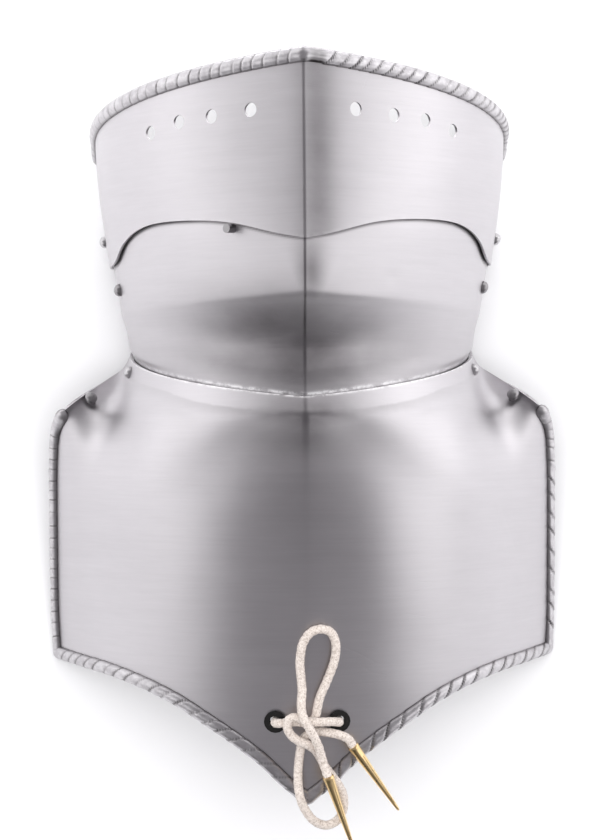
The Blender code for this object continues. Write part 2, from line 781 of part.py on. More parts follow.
def main():
    clear_scene()
    parts = bpy.data.collections.new("bevor")
    cutters = bpy.data.collections.new("cutters")
    bpy.context.scene.collection.children.link(parts)
    bpy.context.scene.collection.children.link(cutters)
    satin = metal("satin_steel", (0.55, 0.53, 0.55), 0.35)
    rivet_steel = metal("rivet_steel", (0.20, 0.19, 0.20), 0.40)
    black = metal("black_enamel", (0.01, 0.01, 0.01), 0.35, 0.5)
    cotton = metal("white_cotton", (0.80, 0.77, 0.68), 0.90, 0.0)
    brass = metal("brass", (0.78, 0.55, 0.25), 0.30)

    seat = make_axis("bevor_frame", 0.0, 0.0, parts)
    fall_axis = make_axis("fall_axis", PIVOT_Y, PIVOT_Z, parts)
    neck_axis = make_axis("neck_axis", NECK_Y, NECK_PIVOT_Z, parts)

    upper = make_upper_plate(parts, cutters)
    chin = make_chin_plate(parts)
    bib = make_bib_plate(parts, cutters)
    bpy.context.view_layer.update()

    catch, stud_place, pin_place = make_catch(chin, parts, cutters)
    rivets = []
    holes = []
    eyelets = []
    on_shoulder = collar_crease(1.0).lerp(outline_point(len(BIB_OUTLINE) - 1), SHOULDER_ALONG)
    for side, word in ((-1, "left"), (1, "right")):
        pivot = land_from_side(upper, side, PIVOT_Y, PIVOT_Z)
        stop = land_from_side(chin, side, PIVOT_Y - STOP_BELOW_PIVOT, STOP_Z)
        neck = land_from_side(bib, side, NECK_Y, NECK_PIVOT_Z)
        shoulder = land_from_front(bib, side * on_shoulder.x, on_shoulder.y - SHOULDER_INSET)
        rivets += [
            (f"pivot_rivet_{word}", pivot, (upper, chin), seat),
            (f"stop_rivet_{word}", stop, (chin,), seat),
            (f"neck_rivet_{word}", neck, (bib, chin), seat),
            (f"shoulder_rivet_{word}", shoulder, (bib,), neck_axis),
        ]
        eyelet = land_from_front(bib, side * EYELET_ACROSS, NECK_Y - EYELET_BELOW_NECK)
        eyelets.append((f"eyelet_{word}", eyelet))

    rivet_hole = RIVET_SHANK + 2 * FIT
    for name, place, plates, parent in rivets:
        top = reach(plates[0], place, RIVET_HEAD / 2, 1) + FIT
        bottom = reach(plates[-1], place, RIVET_BURR / 2, -1) - FIT
        rivet = turned(name, rivet_profile(top, bottom), RIVET_SIDES, place, parts)
        finish(rivet, rivet_steel, parent)
        holes += [(plate, f"{plate.name}_{name}_hole", place, rivet_hole) for plate in plates]
    eyelet_hole = EYELET_BORE + 2 * EYELET_WALL + 2 * FIT
    for name, place in eyelets:
        top = reach(bib, place, EYELET / 2, 1) + FIT
        bottom = reach(bib, place, EYELET / 2, -1) - FIT
        eyelet = turned(name, eyelet_profile(top, bottom), EYELET_SIDES, place, parts, closed=True)
        finish(eyelet, black, neck_axis)
        holes.append((bib, f"{name}_hole", place, eyelet_hole))

    line = lace_line()
    finish(tube("lace", line, LACE, LACE_RESOLUTION, parts), cotton, neck_axis)
    finish(make_aglet("aglet_left", line[0], line[1], parts), brass, neck_axis)
    finish(make_aglet("aglet_right", line[-1], line[-2], parts), brass, neck_axis)

    drill_breath_holes(upper, cutters)
    for plate, name, place, diameter in holes:
        drill(plate, name, place, diameter, cutters)
    drill(chin, "stud_hole", stud_place, STUD + 2 * FIT, cutters)
    drill(chin, "fixing_pin_hole", pin_place, FIXING_PIN + 2 * FIT, cutters)
    finish(upper, satin, fall_axis)
    finish(chin, satin, seat)
    finish(bib, satin, neck_axis)
    finish(catch, rivet_steel, seat)


main()
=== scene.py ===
# %% [markdown]
# # A steel bevor on a pale floor
# A bevor guards the chin, mouth and throat. This one has three plates: an upper plate that can
# fall, a chin plate inside it and a bib that spreads over the chest. It lies on its open back.
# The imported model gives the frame, and every piece below is shaped over it.

# %% Load the frame
import math
import random

import bpy
import bmesh
import numpy as np
from mathutils import Matrix, Vector, noise


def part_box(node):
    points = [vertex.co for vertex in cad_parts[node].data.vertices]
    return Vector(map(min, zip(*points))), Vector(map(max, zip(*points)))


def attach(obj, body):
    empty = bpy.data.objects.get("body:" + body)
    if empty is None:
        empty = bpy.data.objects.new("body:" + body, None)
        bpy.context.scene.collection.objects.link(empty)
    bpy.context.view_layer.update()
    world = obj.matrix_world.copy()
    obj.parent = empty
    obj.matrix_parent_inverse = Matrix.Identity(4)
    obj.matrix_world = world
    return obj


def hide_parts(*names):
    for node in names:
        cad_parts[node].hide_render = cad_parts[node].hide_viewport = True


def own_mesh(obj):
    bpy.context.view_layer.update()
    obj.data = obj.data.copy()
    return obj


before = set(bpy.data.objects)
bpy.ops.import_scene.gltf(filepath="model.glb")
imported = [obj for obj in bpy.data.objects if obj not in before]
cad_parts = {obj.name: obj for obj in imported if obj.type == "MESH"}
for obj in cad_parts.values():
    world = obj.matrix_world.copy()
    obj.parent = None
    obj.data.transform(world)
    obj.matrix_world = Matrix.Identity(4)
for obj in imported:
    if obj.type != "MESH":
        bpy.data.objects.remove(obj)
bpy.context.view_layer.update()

# %% [markdown]
# ## Camera
# The photograph looks straight at the front. The bevor lies on its back, so the camera looks
# down, turned by less than a degree as the photo's is. A long lens from 1.5 m keeps the sides
# nearly parallel.

# %% Camera
def add_object(name, data):
    piece = bpy.data.objects.new(name, data)
    bpy.context.scene.collection.objects.link(piece)
    return piece


camera_data = bpy.data.cameras.new("camera")
camera_data.sensor_fit = "HORIZONTAL"
camera_data.sensor_width = 36.0
camera_data.lens = 168.6
camera = add_object("camera", camera_data)
camera.location = (-0.0242, 0.0071, 1.5)
camera.rotation_euler = (0.0, math.radians(-0.9), math.radians(-0.5))
bpy.context.scene.camera = camera
print("camera at", tuple(camera.location))

# %% [markdown]
# ## Sizes
# The same named sizes as the solid model's, in metres. Each plate's outer surface is a function
# of them, so a fine mesh and the plain solid agree.

# %% Sizes
SHEET = 0.0012
UPPER_HALF_WIDTH = 0.1022
CHIN_HALF_WIDTH = 0.0998
NECK_HALF_WIDTH = 0.0881
BIB_HALF_WIDTH = 0.1302
SIDE_HEIGHT = 0.0200
UPPER_DEPTH = 0.1400
CHIN_DEPTH = 0.1380
NECK_DEPTH = 0.1120
BIB_FALL = 0.1074
RIM_RISE = 0.0805
PIVOT_TO_NECK = 0.0690
NECK_TO_POINT = 0.2145
RIM_ROLL = 0.0072
BIB_ROLL = 0.0066
COLLAR_GAP = 0.0006
BEHIND_UPPER = 0.0044
BEHIND_COLLAR = 0.0030
KEEL_SLOPE = math.radians(33)
NECK_KEEL_SLOPE = math.radians(24)
BIB_PITCH = math.radians(12)
LENGTH = RIM_RISE + PIVOT_TO_NECK + NECK_TO_POINT + RIM_ROLL / 2 + BIB_ROLL / 2
PIVOT_Y = LENGTH / 2 - RIM_ROLL / 2 - RIM_RISE
NECK_Y = PIVOT_Y - PIVOT_TO_NECK
FRONT_PULL = 0.535
SIDE_PULL = 0.46
BIB_KEEL_SHARE = 0.174
BIB_CURVE = 2.61
EYELET_BELOW_NECK = 0.1752
print("length without the lace", round(LENGTH, 4))

# %% Tables
UPPER_ROWS = (
    # height, width, depth
    (-0.19, 0.978, 1.004),
    (0.00, 1.000, 1.000),
    (0.28, 1.030, 0.998),
    (0.57, 1.047, 0.994),
    (1.05, 1.052, 0.990),
)
UPPER_LOWER_EDGE = (
    # back, height
    (0.00, -0.092),
    (0.05, -0.060),
    (0.16, 0.022),
    (0.28, 0.053),
    (0.41, 0.049),
    (0.50, 0.011),
    (0.58, -0.051),
    (0.67, -0.142),
    (0.76, -0.170),
    (1.00, -0.170),
)
CHIN_ROWS = (
    # height, width, depth, rise, neck
    (0.380, 0.980, 0.977, -0.20, 0.0),
    (0.190, 0.994, 0.993, -0.10, 0.0),
    (0.000, 1.000, 1.000, 0.00, 0.0),
    (-0.220, 0.975, 0.990, -0.04, 0.0),
    (-0.420, 0.960, 0.991, -0.10, 0.1),
    (-0.490, 0.964, 0.997, -0.10, 0.2),
    (-0.560, 0.979, 1.000, -0.06, 0.4),
    (-0.700, 1.000, 0.991, 0.02, 0.7),
    (-0.850, 1.035, 1.004, 0.16, 1.0),
    (-1.000, 1.030, 0.988, 0.30, 1.0),
    (-1.110, 1.022, 0.992, 0.36, 1.0),
    (-1.190, 1.000, 0.998, 0.40, 1.0),
    (-1.290, 0.998, 0.984, 0.40, 1.0),
    (-1.370, 0.994, 0.968, 0.40, 1.0),
)
COLLAR_CREASE = (
    # back, height, stand_off
    (0.00, -0.326, 0.0042),
    (0.07, -0.316, 0.0040),
    (0.27, -0.251, 0.0030),
    (0.40, -0.157, 0.0022),
    (0.60, -0.107, 0.0014),
    (0.72, -0.090, 0.0010),
    (0.85, -0.020, 0.0016),
    (1.00, 0.066, 0.0030),
)
COLLAR_TOP = -0.203
COLLAR_TOP_RISE = 0.40
BIB_OUTLINE = (
    # across, down
    (0.000, 1.000),
    (0.084, 0.958),
    (0.177, 0.904),
    (0.283, 0.856),
    (0.386, 0.815),
    (0.495, 0.774),
    (0.624, 0.739),
    (0.760, 0.714),
    (0.879, 0.701),
    (1.000, 0.689),
    (1.006, 0.600),
    (1.006, 0.505),
    (1.004, 0.410),
    (1.002, 0.310),
    (0.998, 0.215),
    (0.985, 0.140),
    (0.945, 0.090),
)
BIB_CORNER = 9
RIM_SIDE_DROP = 0.385
RIM_DROP_CURVE = 1.2
RIM_END_DROP = 0.15
RIM_END_CURVE = 1.6
DIP_FADE_FRONT = 7.0
DIP_FADE_BACK = 1.4
print(len(UPPER_ROWS), "upper rows,", len(CHIN_ROWS), "chin rows,", len(BIB_OUTLINE), "outline points")

# %% [markdown]
# ## Reading a table smoothly
# A smith's templates give a plate's section at a few heights, and hammering blends them. The
# reader below does the blending: a curve that passes through every row of a table.

# %% Table reader
def slope_at(rows, k, column):
    before = max(k - 1, 0)
    after = min(k + 1, len(rows) - 1)
    rise = rows[after][column] - rows[before][column]
    return rise / (rows[after][0] - rows[before][0])


def between(rows, at, column):
    """A table's column at a place between two rows, read from a smooth curve."""
    rising = rows[-1][0] > rows[0][0]
    k = 0
    while k < len(rows) - 2 and (at > rows[k + 1][0]) == rising and at != rows[k + 1][0]:
        k += 1
    span = rows[k + 1][0] - rows[k][0]
    start = rows[k][column]
    step = rows[k + 1][column] - start
    t = min(max((at - rows[k][0]) / span, 0.0), 1.0)
    lean_in = slope_at(rows, k, column) * span - step
    lean_out = step - slope_at(rows, k + 1, column) * span
    return start + step * t + t * (1 - t) * (lean_in * (1 - t) + lean_out * t)


print("depth share at the ledge", round(between(CHIN_ROWS, -0.49, 2), 4))


# %% [markdown]
# ## The keeled section
# Every plate is an arch with a keel, a ridge down the front that turns a blow aside. Half of the
# arch is a Bezier curve from the keel to the side, and behind the side the sheet runs straight.

# %% Keeled section
ARCH_SHARE = 11 / 13
KEEL_ROUND = 0.0008
BIB_KEEL_ROUND = 0.0034
KEEL_COLUMNS = (0.0, 0.0022, 0.0044, 0.0066, 0.0095)
KEEL_COLUMNS_END = 0.012
PLATE_COLUMNS = 120


def section_point(share, half_width, depth, keel_slope, rear_z, keel_round=KEEL_ROUND):
    if share > ARCH_SHARE:
        back = (share - ARCH_SHARE) / (1 - ARCH_SHARE)
        return half_width, SIDE_HEIGHT + (rear_z - SIDE_HEIGHT) * back
    t = share / ARCH_SHARE
    front_pull = FRONT_PULL * half_width
    side_pull = SIDE_PULL * depth
    ends = ((1 - t) ** 3, 3 * (1 - t) ** 2 * t, 3 * (1 - t) * t * t, t ** 3)
    across = (0.0, front_pull * math.cos(keel_slope), half_width, half_width)
    up = (depth, depth - front_pull * math.sin(keel_slope), side_pull, 0.0)
    x = sum(a * b for a, b in zip(ends, across))
    z = sum(a * b for a, b in zip(ends, up))
    if x < keel_round:
        z -= math.tan(keel_slope) * (keel_round - x) ** 2 / (2 * keel_round)
    return x, SIDE_HEIGHT + z


def side_shares(steps):
    """Shares from one rear edge over the keel to the other, closer together at the keel."""
    even = [k / steps for k in range(1, steps + 1)]
    half = list(KEEL_COLUMNS) + [share for share in even if share > KEEL_COLUMNS_END]
    return [-share for share in reversed(half[1:])] + half


plate_shares = side_shares(PLATE_COLUMNS)
print("columns across a plate", len(plate_shares))


# %% [markdown]
# ## Sheet from a grid of points
# A hammered plate is a sheet of even thickness. A grid of points on its outer face gives the
# inner face by stepping in along each point's normal, and a strip of faces closes the edges.
# A little noise moves the outer face by a tenth of a millimetre, as hammer and grinder leave it.

# %% Sheet builder
HAMMER_HEIGHT = 0.00016
HAMMER_SIZE = 0.030
INSIDE_GRIME = 0.35


def grid_normals(grid):
    along = np.gradient(grid, axis=1)
    across = np.gradient(grid, axis=0)
    normals = np.cross(across, along)
    return normals / np.linalg.norm(normals, axis=2, keepdims=True)


def hammered(grid, seed):
    """The grid with the slight waves that hammering leaves."""
    normals = grid_normals(grid)
    shift = Vector((seed, 0.0, 0.0))
    waves = np.zeros(grid.shape[:2])
    for i in range(grid.shape[0]):
        for j in range(grid.shape[1]):
            waves[i, j] = noise.noise(Vector(grid[i, j]) / HAMMER_SIZE + shift)
    return grid + normals * waves[:, :, None] * HAMMER_HEIGHT


def mark(mesh, name, values):
    """Stores one number for each point, which a material can read as a mask."""
    layer = mesh.attributes.new(name, "FLOAT", "POINT")
    layer.data.foreach_set("value", np.asarray(values, dtype=np.float32).ravel())


def sheet_mesh(name, grid, wear, tarnish):
    """Closed sheet from its outer face's grid, with its worn places and its painted shade marked."""
    inner = grid - grid_normals(grid) * SHEET
    rows, columns = grid.shape[:2]
    points = np.concatenate([grid.reshape(-1, 3), inner.reshape(-1, 3)])
    index = np.arange(rows * columns).reshape(rows, columns)
    corners = [index[:-1, :-1], index[1:, :-1], index[1:, 1:], index[:-1, 1:]]
    outer_faces = np.stack(corners, axis=2).reshape(-1, 4)
    inner_faces = outer_faces[:, ::-1] + rows * columns
    edge = np.concatenate([index[0, :-1], index[:-1, -1], index[-1, :0:-1], index[:0:-1, 0]])
    after = np.roll(edge, -1)
    walls = np.stack([edge, after, after + rows * columns, edge + rows * columns], axis=1)
    mesh = bpy.data.meshes.new(name)
    mesh.from_pydata(points.tolist(), [], np.concatenate([outer_faces, inner_faces, walls]).tolist())
    mesh.update()
    mark(mesh, "wear", np.concatenate([wear.ravel(), wear.ravel()]))
    mark(mesh, "grime", np.concatenate([np.zeros(wear.size), np.full(wear.size, INSIDE_GRIME)]))
    # The outer face carries the painted shade, and the inner face has none.
    mark(mesh, "tarnish", np.concatenate([tarnish.ravel(), np.zeros(wear.size)]))
    return mesh


def painted_shade_spots(grid, spots):
    """Smooth spots of painted shade on a grid: x, y, half width, half height, strength."""
    tarnish = np.zeros(grid.shape[:2])
    for x, y, wide, high, strength in spots:
        across = (grid[:, :, 0] - x) / wide
        along = (grid[:, :, 1] - y) / high
        tarnish = np.maximum(tarnish, strength * np.exp(-(across ** 2) - along ** 2))
    return tarnish


def edge_wear(grid, first, last):
    """Wear along a grid's first and last rungs, which fades over one face."""
    wear = np.zeros(grid.shape[:2])
    wear[:, 0] = first
    wear[:, -1] = last
    return wear


def smooth(mesh, sharp_angle=40):
    mesh.shade_smooth()
    mesh.set_sharp_from_angle(angle=math.radians(sharp_angle))


def add_piece(name, mesh, sharp_angle=40):
    smooth(mesh, sharp_angle)
    return add_object(name, mesh)


print("sheet", SHEET * 1000, "mm")


# %% [markdown]
# ## Cutting holes
# The breath holes are punched through the plate. A Boolean with round bars does that, and all the
# bars go into one cutter, so the plate is cut once.

# %% Hole cutter
HOLE_SIDES = 40
HOLE_REACH = 0.008
LANDING_HEIGHT = 0.5
LANDING_SPREAD = 0.0030
LANDING_RAYS = 12


def mesh_from(name, bm):
    mesh = bpy.data.meshes.new(name)
    bm.to_mesh(mesh)
    bm.free()
    return mesh


def cut_holes(piece, places, diameter):
    """Round holes through a piece, each along its place's Z axis."""
    bm = bmesh.new()
    for place in places:
        bmesh.ops.create_cone(
            bm, cap_ends=True, segments=HOLE_SIDES, radius1=diameter / 2, radius2=diameter / 2,
            depth=2 * HOLE_REACH, matrix=place,
        )
    bars = add_object("bars", mesh_from("bars", bm))
    boolean = piece.modifiers.new("holes", "BOOLEAN")
    boolean.object = bars
    boolean.operation = "DIFFERENCE"
    boolean.solver = "EXACT"
    bpy.context.view_layer.update()
    depsgraph = bpy.context.evaluated_depsgraph_get()
    cut = bpy.data.meshes.new_from_object(piece.evaluated_get(depsgraph))
    piece.modifiers.clear()
    piece.data = cut
    bpy.data.objects.remove(bars, do_unlink=True)
    print(piece.name, "cut with", len(places), "holes, faces", len(cut.polygons))


def land_from_front(piece, x, y):
    """Place on a piece straight behind x and y, Z pointing out of the surface round there."""
    start = Vector((x, y, LANDING_HEIGHT))
    direction = Vector((0, 0, -1))
    sideways = direction.orthogonal().normalized() * LANDING_SPREAD
    normal = Vector()
    for k in range(LANDING_RAYS):
        turn = Matrix.Rotation(math.radians(360 / LANDING_RAYS) * k, 3, direction)
        normal += piece.ray_cast(start + turn @ sideways, direction)[2]
    point = piece.ray_cast(start, direction)[1]
    turn = Vector((0, 0, 1)).rotation_difference(normal)
    return Matrix.Translation(point) @ turn.to_matrix().to_4x4()


# %% [markdown]
# ## Roped edges
# A plate's edge is turned over a wire and hammered flatter, then cut with slanting chisel lines
# so that it looks like twisted rope. The roll is a flattened tube along the edge, each line is a
# narrow groove, and each stretch between two lines leans a little, as the chisel pushes it. Hand
# work is uneven, so the lines' distances and depths vary.

# %% Roped tube
ROPE_SIDES = 20
ROPE_STEP = 0.00032
ROPE_WIDE = 1.08
ROPE_TALL = 0.86
ROPE_TAPER = 0.006
ROPE_SIDE_SINK = 0.6
ROPE_WEAR = 0.35
# The roll's colour is darkened evenly all round: painted shade.
ROPE_PAINTED_SHADE = 0.20
ROPE_UNDER_GRIME = 0.75
ROPE_UNDER_TURN = 1.15
ROPE_UNDER_FADE = 0.3
GROOVE_GRIME = 0.8
GROOVE_FIRST = (0.3, 0.8)
GROOVE_GAPS = (0.78, 1.22)
GROOVE_DEPTHS = (0.6, 1.2)
NICK_TURN = 1.25
NICK_SPREAD = 0.55
# The strength of the painted shade all round the roll at the nick.
NICK_SHADE = 0.40
NICK_GRIME = 1.3


def path_lengths(path):
    gaps = np.linalg.norm(np.diff(path, axis=0), axis=1)
    return np.concatenate([[0.0], np.cumsum(gaps)])


def resample(path, spacing):
    lengths = path_lengths(path)
    count = max(int(lengths[-1] / spacing), 2)
    at = np.linspace(0.0, lengths[-1], count)
    return np.stack([np.interp(at, lengths, path[:, k]) for k in range(3)], axis=1), at


def groove_places(start, end, spacing, rng):
    places = []
    at = start + spacing * rng.uniform(*GROOVE_FIRST)
    while at < end:
        places.append((at, rng.uniform(*GROOVE_DEPTHS)))
        at += spacing * rng.uniform(*GROOVE_GAPS)
    return places


def roped_mesh(name, path, normals, radius, zones, seed, nick=None):
    """Flattened tube whose chisel lines follow the zones:
    start, end, spacing, slant, lean, width, depth.
    A nick is a gap at the plate's side: its middle, half length and depth."""
    rng = random.Random(seed)
    lengths = path_lengths(path)
    path, at = resample(path, ROPE_STEP)
    tangent = np.gradient(path, axis=0)
    tangent /= np.linalg.norm(tangent, axis=1, keepdims=True)
    outward = np.stack([np.interp(at, lengths, normals[:, k]) for k in range(3)], axis=1)
    side = np.cross(tangent, outward)
    side /= np.linalg.norm(side, axis=1, keepdims=True)
    up = np.cross(side, tangent)
    angles = np.linspace(0, 2 * math.pi, ROPE_SIDES, endpoint=False)
    wrapped = (angles + math.pi) % (2 * math.pi) - math.pi
    sink = np.zeros((len(path), ROPE_SIDES))
    under = np.clip((np.abs(wrapped) - ROPE_UNDER_TURN) / ROPE_UNDER_FADE, 0, ROPE_UNDER_GRIME)
    grime = np.broadcast_to(under, sink.shape).copy()
    for start, end, spacing, slant, lean, width, depth in zones:
        places = groove_places(start, end, spacing, rng)
        shifted = at[:, None] - wrapped[None, :] * radius * slant
        for place, strength in places:
            groove = np.exp(-(((shifted - place) / width) ** 2)) * strength
            sink += groove * depth
            grime = np.maximum(grime, GROOVE_GRIME * groove)
        edges = [start] + [place for place, strength in places] + [end]
        for before, after in zip(edges, edges[1:]):
            share = (shifted - before) / (after - before)
            sink += np.where((share > 0) & (share < 1), share * lean, 0.0)
    if nick is not None:
        middle, half_length, depth = nick
        along = np.exp(-(((at - middle) / half_length) ** 4))
        gap = along[:, None] * np.exp(-(((wrapped - NICK_TURN) / NICK_SPREAD) ** 4))[None, :]
        sink += gap * depth
        grime = np.maximum(grime, np.minimum(NICK_GRIME * gap, 1.0))
        # Painted shade all round the roll along the nick, kept in the grime mask.
        grime = np.maximum(grime, NICK_SHADE * along[:, None])
    taper = np.minimum(at, at[-1] - at) / ROPE_TAPER
    taper = np.sqrt(np.clip(taper * (2 - taper), 0.02, 1.0)) * (taper < 1) + (taper >= 1)
    wide = (np.sin(angles)[None, :] * (radius * ROPE_WIDE - sink * ROPE_SIDE_SINK)) * taper[:, None]
    tall = (np.cos(angles)[None, :] * (radius * ROPE_TALL - sink)) * taper[:, None]
    points = path[:, None, :] + tall[:, :, None] * up[:, None, :] + wide[:, :, None] * side[:, None, :]
    mesh = tube_mesh(name, points)
    mark(mesh, "wear", np.broadcast_to(ROPE_WEAR * np.clip(np.cos(wrapped), 0, 1), grime.shape))
    mark(mesh, "grime", grime)
    # An even painted shade over the whole roll.
    mark(mesh, "tarnish", np.full(grime.shape, ROPE_PAINTED_SHADE))
    return mesh


def closed_mesh(name, points, faces):
    """Mesh from points and faces, with every face turned outward."""
    mesh = bpy.data.meshes.new(name)
    mesh.from_pydata(points, [], faces)
    bm = bmesh.new()
    bm.from_mesh(mesh)
    bmesh.ops.recalc_face_normals(bm, faces=bm.faces)
    bm.to_mesh(mesh)
    bm.free()
    return mesh


def tube_mesh(name, points):
    """Closed tube through rings of points, one ring a row."""
    rings, sides = points.shape[:2]
    index = np.arange(rings * sides).reshape(rings, sides)
    right = np.roll(index, -1, axis=1)
    faces = np.stack([index[:-1], index[1:], right[1:], right[:-1]], axis=2).reshape(-1, 4).tolist()
    faces.append(index[0].tolist())
    faces.append(index[-1][::-1].tolist())
    return closed_mesh(name, points.reshape(-1, 3).tolist(), faces)


def join_rope(plate, rope):
    """Puts a plate's rope into the plate's own mesh."""
    bm = bmesh.new()
    for mesh in (plate.data, rope):
        bm.from_mesh(mesh)
    plate.data = mesh_from(plate.name, bm)
    smooth(plate.data)


# %% [markdown]
# ## Upper plate
# The upper plate covers the mouth and drops on its two pivots when the catch is pressed. Its
# lower edge sweeps up from a dip at the keel and down again to the pivots.

# %% Upper plate
UPPER_RUNG = 46


def upper_surface(share, y):
    level = (y - PIVOT_Y) / RIM_RISE
    width = UPPER_HALF_WIDTH * between(UPPER_ROWS, level, 1)
    depth = UPPER_DEPTH * between(UPPER_ROWS, level, 2)
    x, z = section_point(abs(share), width, depth, KEEL_SLOPE, BEHIND_UPPER)
    return (math.copysign(x, share), y, z)


def upper_ends(share):
    """Y of the plate's lower edge and of its rim along one column."""
    z = upper_surface(share, PIVOT_Y)[2]
    back = max(0.0, 1 - z / (SIDE_HEIGHT + UPPER_DEPTH))
    behind = max(0.0, 1 - z / SIDE_HEIGHT)
    fall = RIM_SIDE_DROP * back ** RIM_DROP_CURVE + RIM_END_DROP * behind ** RIM_END_CURVE
    low = PIVOT_Y + RIM_RISE * between(UPPER_LOWER_EDGE, back, 1)
    return low, PIVOT_Y + RIM_RISE * (1 - fall)


upper_grid = []
for share in plate_shares:
    low, high = upper_ends(share)
    heights = [low + (high - low) * k / UPPER_RUNG for k in range(UPPER_RUNG + 1)]
    upper_grid.append([upper_surface(share, y) for y in heights])
upper_grid = hammered(np.array(upper_grid), 1.0)
rim_path = upper_grid[:, -1, :]
rim_length = path_lengths(rim_path)[-1]
upper_rope = roped_mesh(
    "upper_rope", rim_path, grid_normals(upper_grid)[:, -1], RIM_ROLL / 2,
    [
        (0.000, rim_length / 2 - 0.006, 0.0068, -0.35, 0.00016, 0.00030, 0.00055),
        (rim_length / 2 + 0.012, rim_length, 0.0074, -0.85, 0.00034, 0.00034, 0.00060),
    ],
    seed=4,
    nick=(rim_length / 2 + 0.0065, 0.0045, 0.0008),
)
# Painted shade: a narrow dark strip just beside the keel, down the whole plate.
UPPER_PAINTED_SHADE = (
    # x, y, half width, half height, strength
    (0.0065, 0.1400, 0.0095, 0.160, 0.66),
)
upper_painted_shade = painted_shade_spots(upper_grid, UPPER_PAINTED_SHADE)
upper_wear = edge_wear(upper_grid, first=0.15, last=0.0)
upper_sheet = sheet_mesh("upper_plate_steel", upper_grid, upper_wear, upper_painted_shade)
upper_plate = add_piece("upper_plate_steel", upper_sheet)
print("rim", round(rim_length, 3), "m long")

# %% Breath holes
BREATH_HOLE_DIAMETER = 0.0070
BREATH_HOLES = (
    # across, height
    (0.250, 0.692),
    (0.438, 0.673),
    (0.597, 0.659),
    (0.740, 0.613),
)
hole_places = [
    land_from_front(upper_plate, side * across * UPPER_HALF_WIDTH, PIVOT_Y + RIM_RISE * level)
    for side in (-1, 1)
    for across, level in BREATH_HOLES
]
cut_holes(upper_plate, hole_places, BREATH_HOLE_DIAMETER)
join_rope(upper_plate, upper_rope)
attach(upper_plate, "upper")
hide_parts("upper_plate")


# %% [markdown]
# ## Chin plate
# The chin plate carries the others. Under the chin it turns in to a ledge and then down the
# throat, and its lower end passes inside the bib's collar.

# %% Chin plate
CHIN_RUNG = 150
DENT_X = 0.0435
DENT_Y = 0.0765
DENT_SIZE = 0.0034
DENT_DEPTH = 0.00028


def chin_surface(share, level):
    neck = between(CHIN_ROWS, level, 4)
    half_width = CHIN_HALF_WIDTH + (NECK_HALF_WIDTH - CHIN_HALF_WIDTH) * neck
    full_depth = CHIN_DEPTH + (NECK_DEPTH - CHIN_DEPTH) * neck
    slope = KEEL_SLOPE + (NECK_KEEL_SLOPE - KEEL_SLOPE) * neck
    width = half_width * between(CHIN_ROWS, level, 1)
    depth = full_depth * between(CHIN_ROWS, level, 2)
    x, z = section_point(abs(share), width, depth, slope, 0.0)
    rise = between(CHIN_ROWS, level, 3) * (1 - z / (SIDE_HEIGHT + depth))
    return (math.copysign(x, share), PIVOT_Y + PIVOT_TO_NECK * (level + rise), z)


top_level, low_level = CHIN_ROWS[0][0], CHIN_ROWS[-1][0]
chin_grid = [
    [chin_surface(share, low_level + (top_level - low_level) * k / CHIN_RUNG) for k in range(CHIN_RUNG + 1)]
    for share in plate_shares
]
chin_grid = hammered(np.array(chin_grid), 7.0)
dent = np.exp(-((chin_grid[:, :, 0] - DENT_X) ** 2 + (chin_grid[:, :, 1] - DENT_Y) ** 2) / DENT_SIZE ** 2)
chin_grid -= grid_normals(chin_grid) * (DENT_DEPTH * dent)[:, :, None]
print("chin plate", chin_grid.shape[0], "by", chin_grid.shape[1], "points")


# %% [markdown]
# ## Bib
# The bib starts as a collar round the throat. A crease turns it out over the chest, sharp at
# the front and soft at the sides, and from there it spreads to its roped outline. Where the
# collar rubs the throat as the bib tilts, the chin plate is worn bright.

# %% Bib surface
BIB_SPAN = len(BIB_OUTLINE) - 1
BIB_RUNG = 84
BIB_RUNG_GROWTH = 1.25
COLLAR_RUNG = 8
CREASE_SOFT_FRONT = 0.0012
CREASE_SOFT_SIDE = 0.0110
CREASE_SOFT_GROWTH = 1.6
COLLAR_KEEL_ROUND = 0.0018


def collar_point(share, height, rise, stand_off):
    depth = NECK_DEPTH + stand_off
    half_width = NECK_HALF_WIDTH + stand_off
    x, z = section_point(share, half_width, depth, NECK_KEEL_SLOPE, BEHIND_COLLAR, COLLAR_KEEL_ROUND)
    back = 1 - z / (SIDE_HEIGHT + depth)
    return Vector((x, NECK_Y + PIVOT_TO_NECK * (height + rise * back), z))


def collar_crease(share):
    sheet_out = SHEET + COLLAR_GAP
    back = 1 - collar_point(share, 0.0, 0.0, sheet_out).z / (SIDE_HEIGHT + NECK_DEPTH + sheet_out)
    height = between(COLLAR_CREASE, back, 1)
    return collar_point(share, height, 0.0, sheet_out + between(COLLAR_CREASE, back, 2))


front_crease = collar_crease(0.0)


def bib_front(x, y):
    keel = front_crease.z - (front_crease.y - y) * math.tan(BIB_PITCH)
    across = math.hypot(x, BIB_KEEL_ROUND) / BIB_HALF_WIDTH
    return keel - BIB_FALL * (BIB_KEEL_SHARE * across + (1 - BIB_KEEL_SHARE) * across ** BIB_CURVE)


def outline_point(k):
    """Point of the outline at a fractional place in its table, smooth but for the corner."""
    stretch = BIB_OUTLINE[: BIB_CORNER + 1] if k <= BIB_CORNER else BIB_OUTLINE[BIB_CORNER:]
    start = 0 if k <= BIB_CORNER else BIB_CORNER
    numbered = [(start + n, *row) for n, row in enumerate(stretch)]
    x = BIB_HALF_WIDTH * between(numbered, k, 1)
    y = NECK_Y - NECK_TO_POINT * between(numbered, k, 2)
    return Vector((x, y, max(bib_front(x, y), BIB_ROLL / 2)))


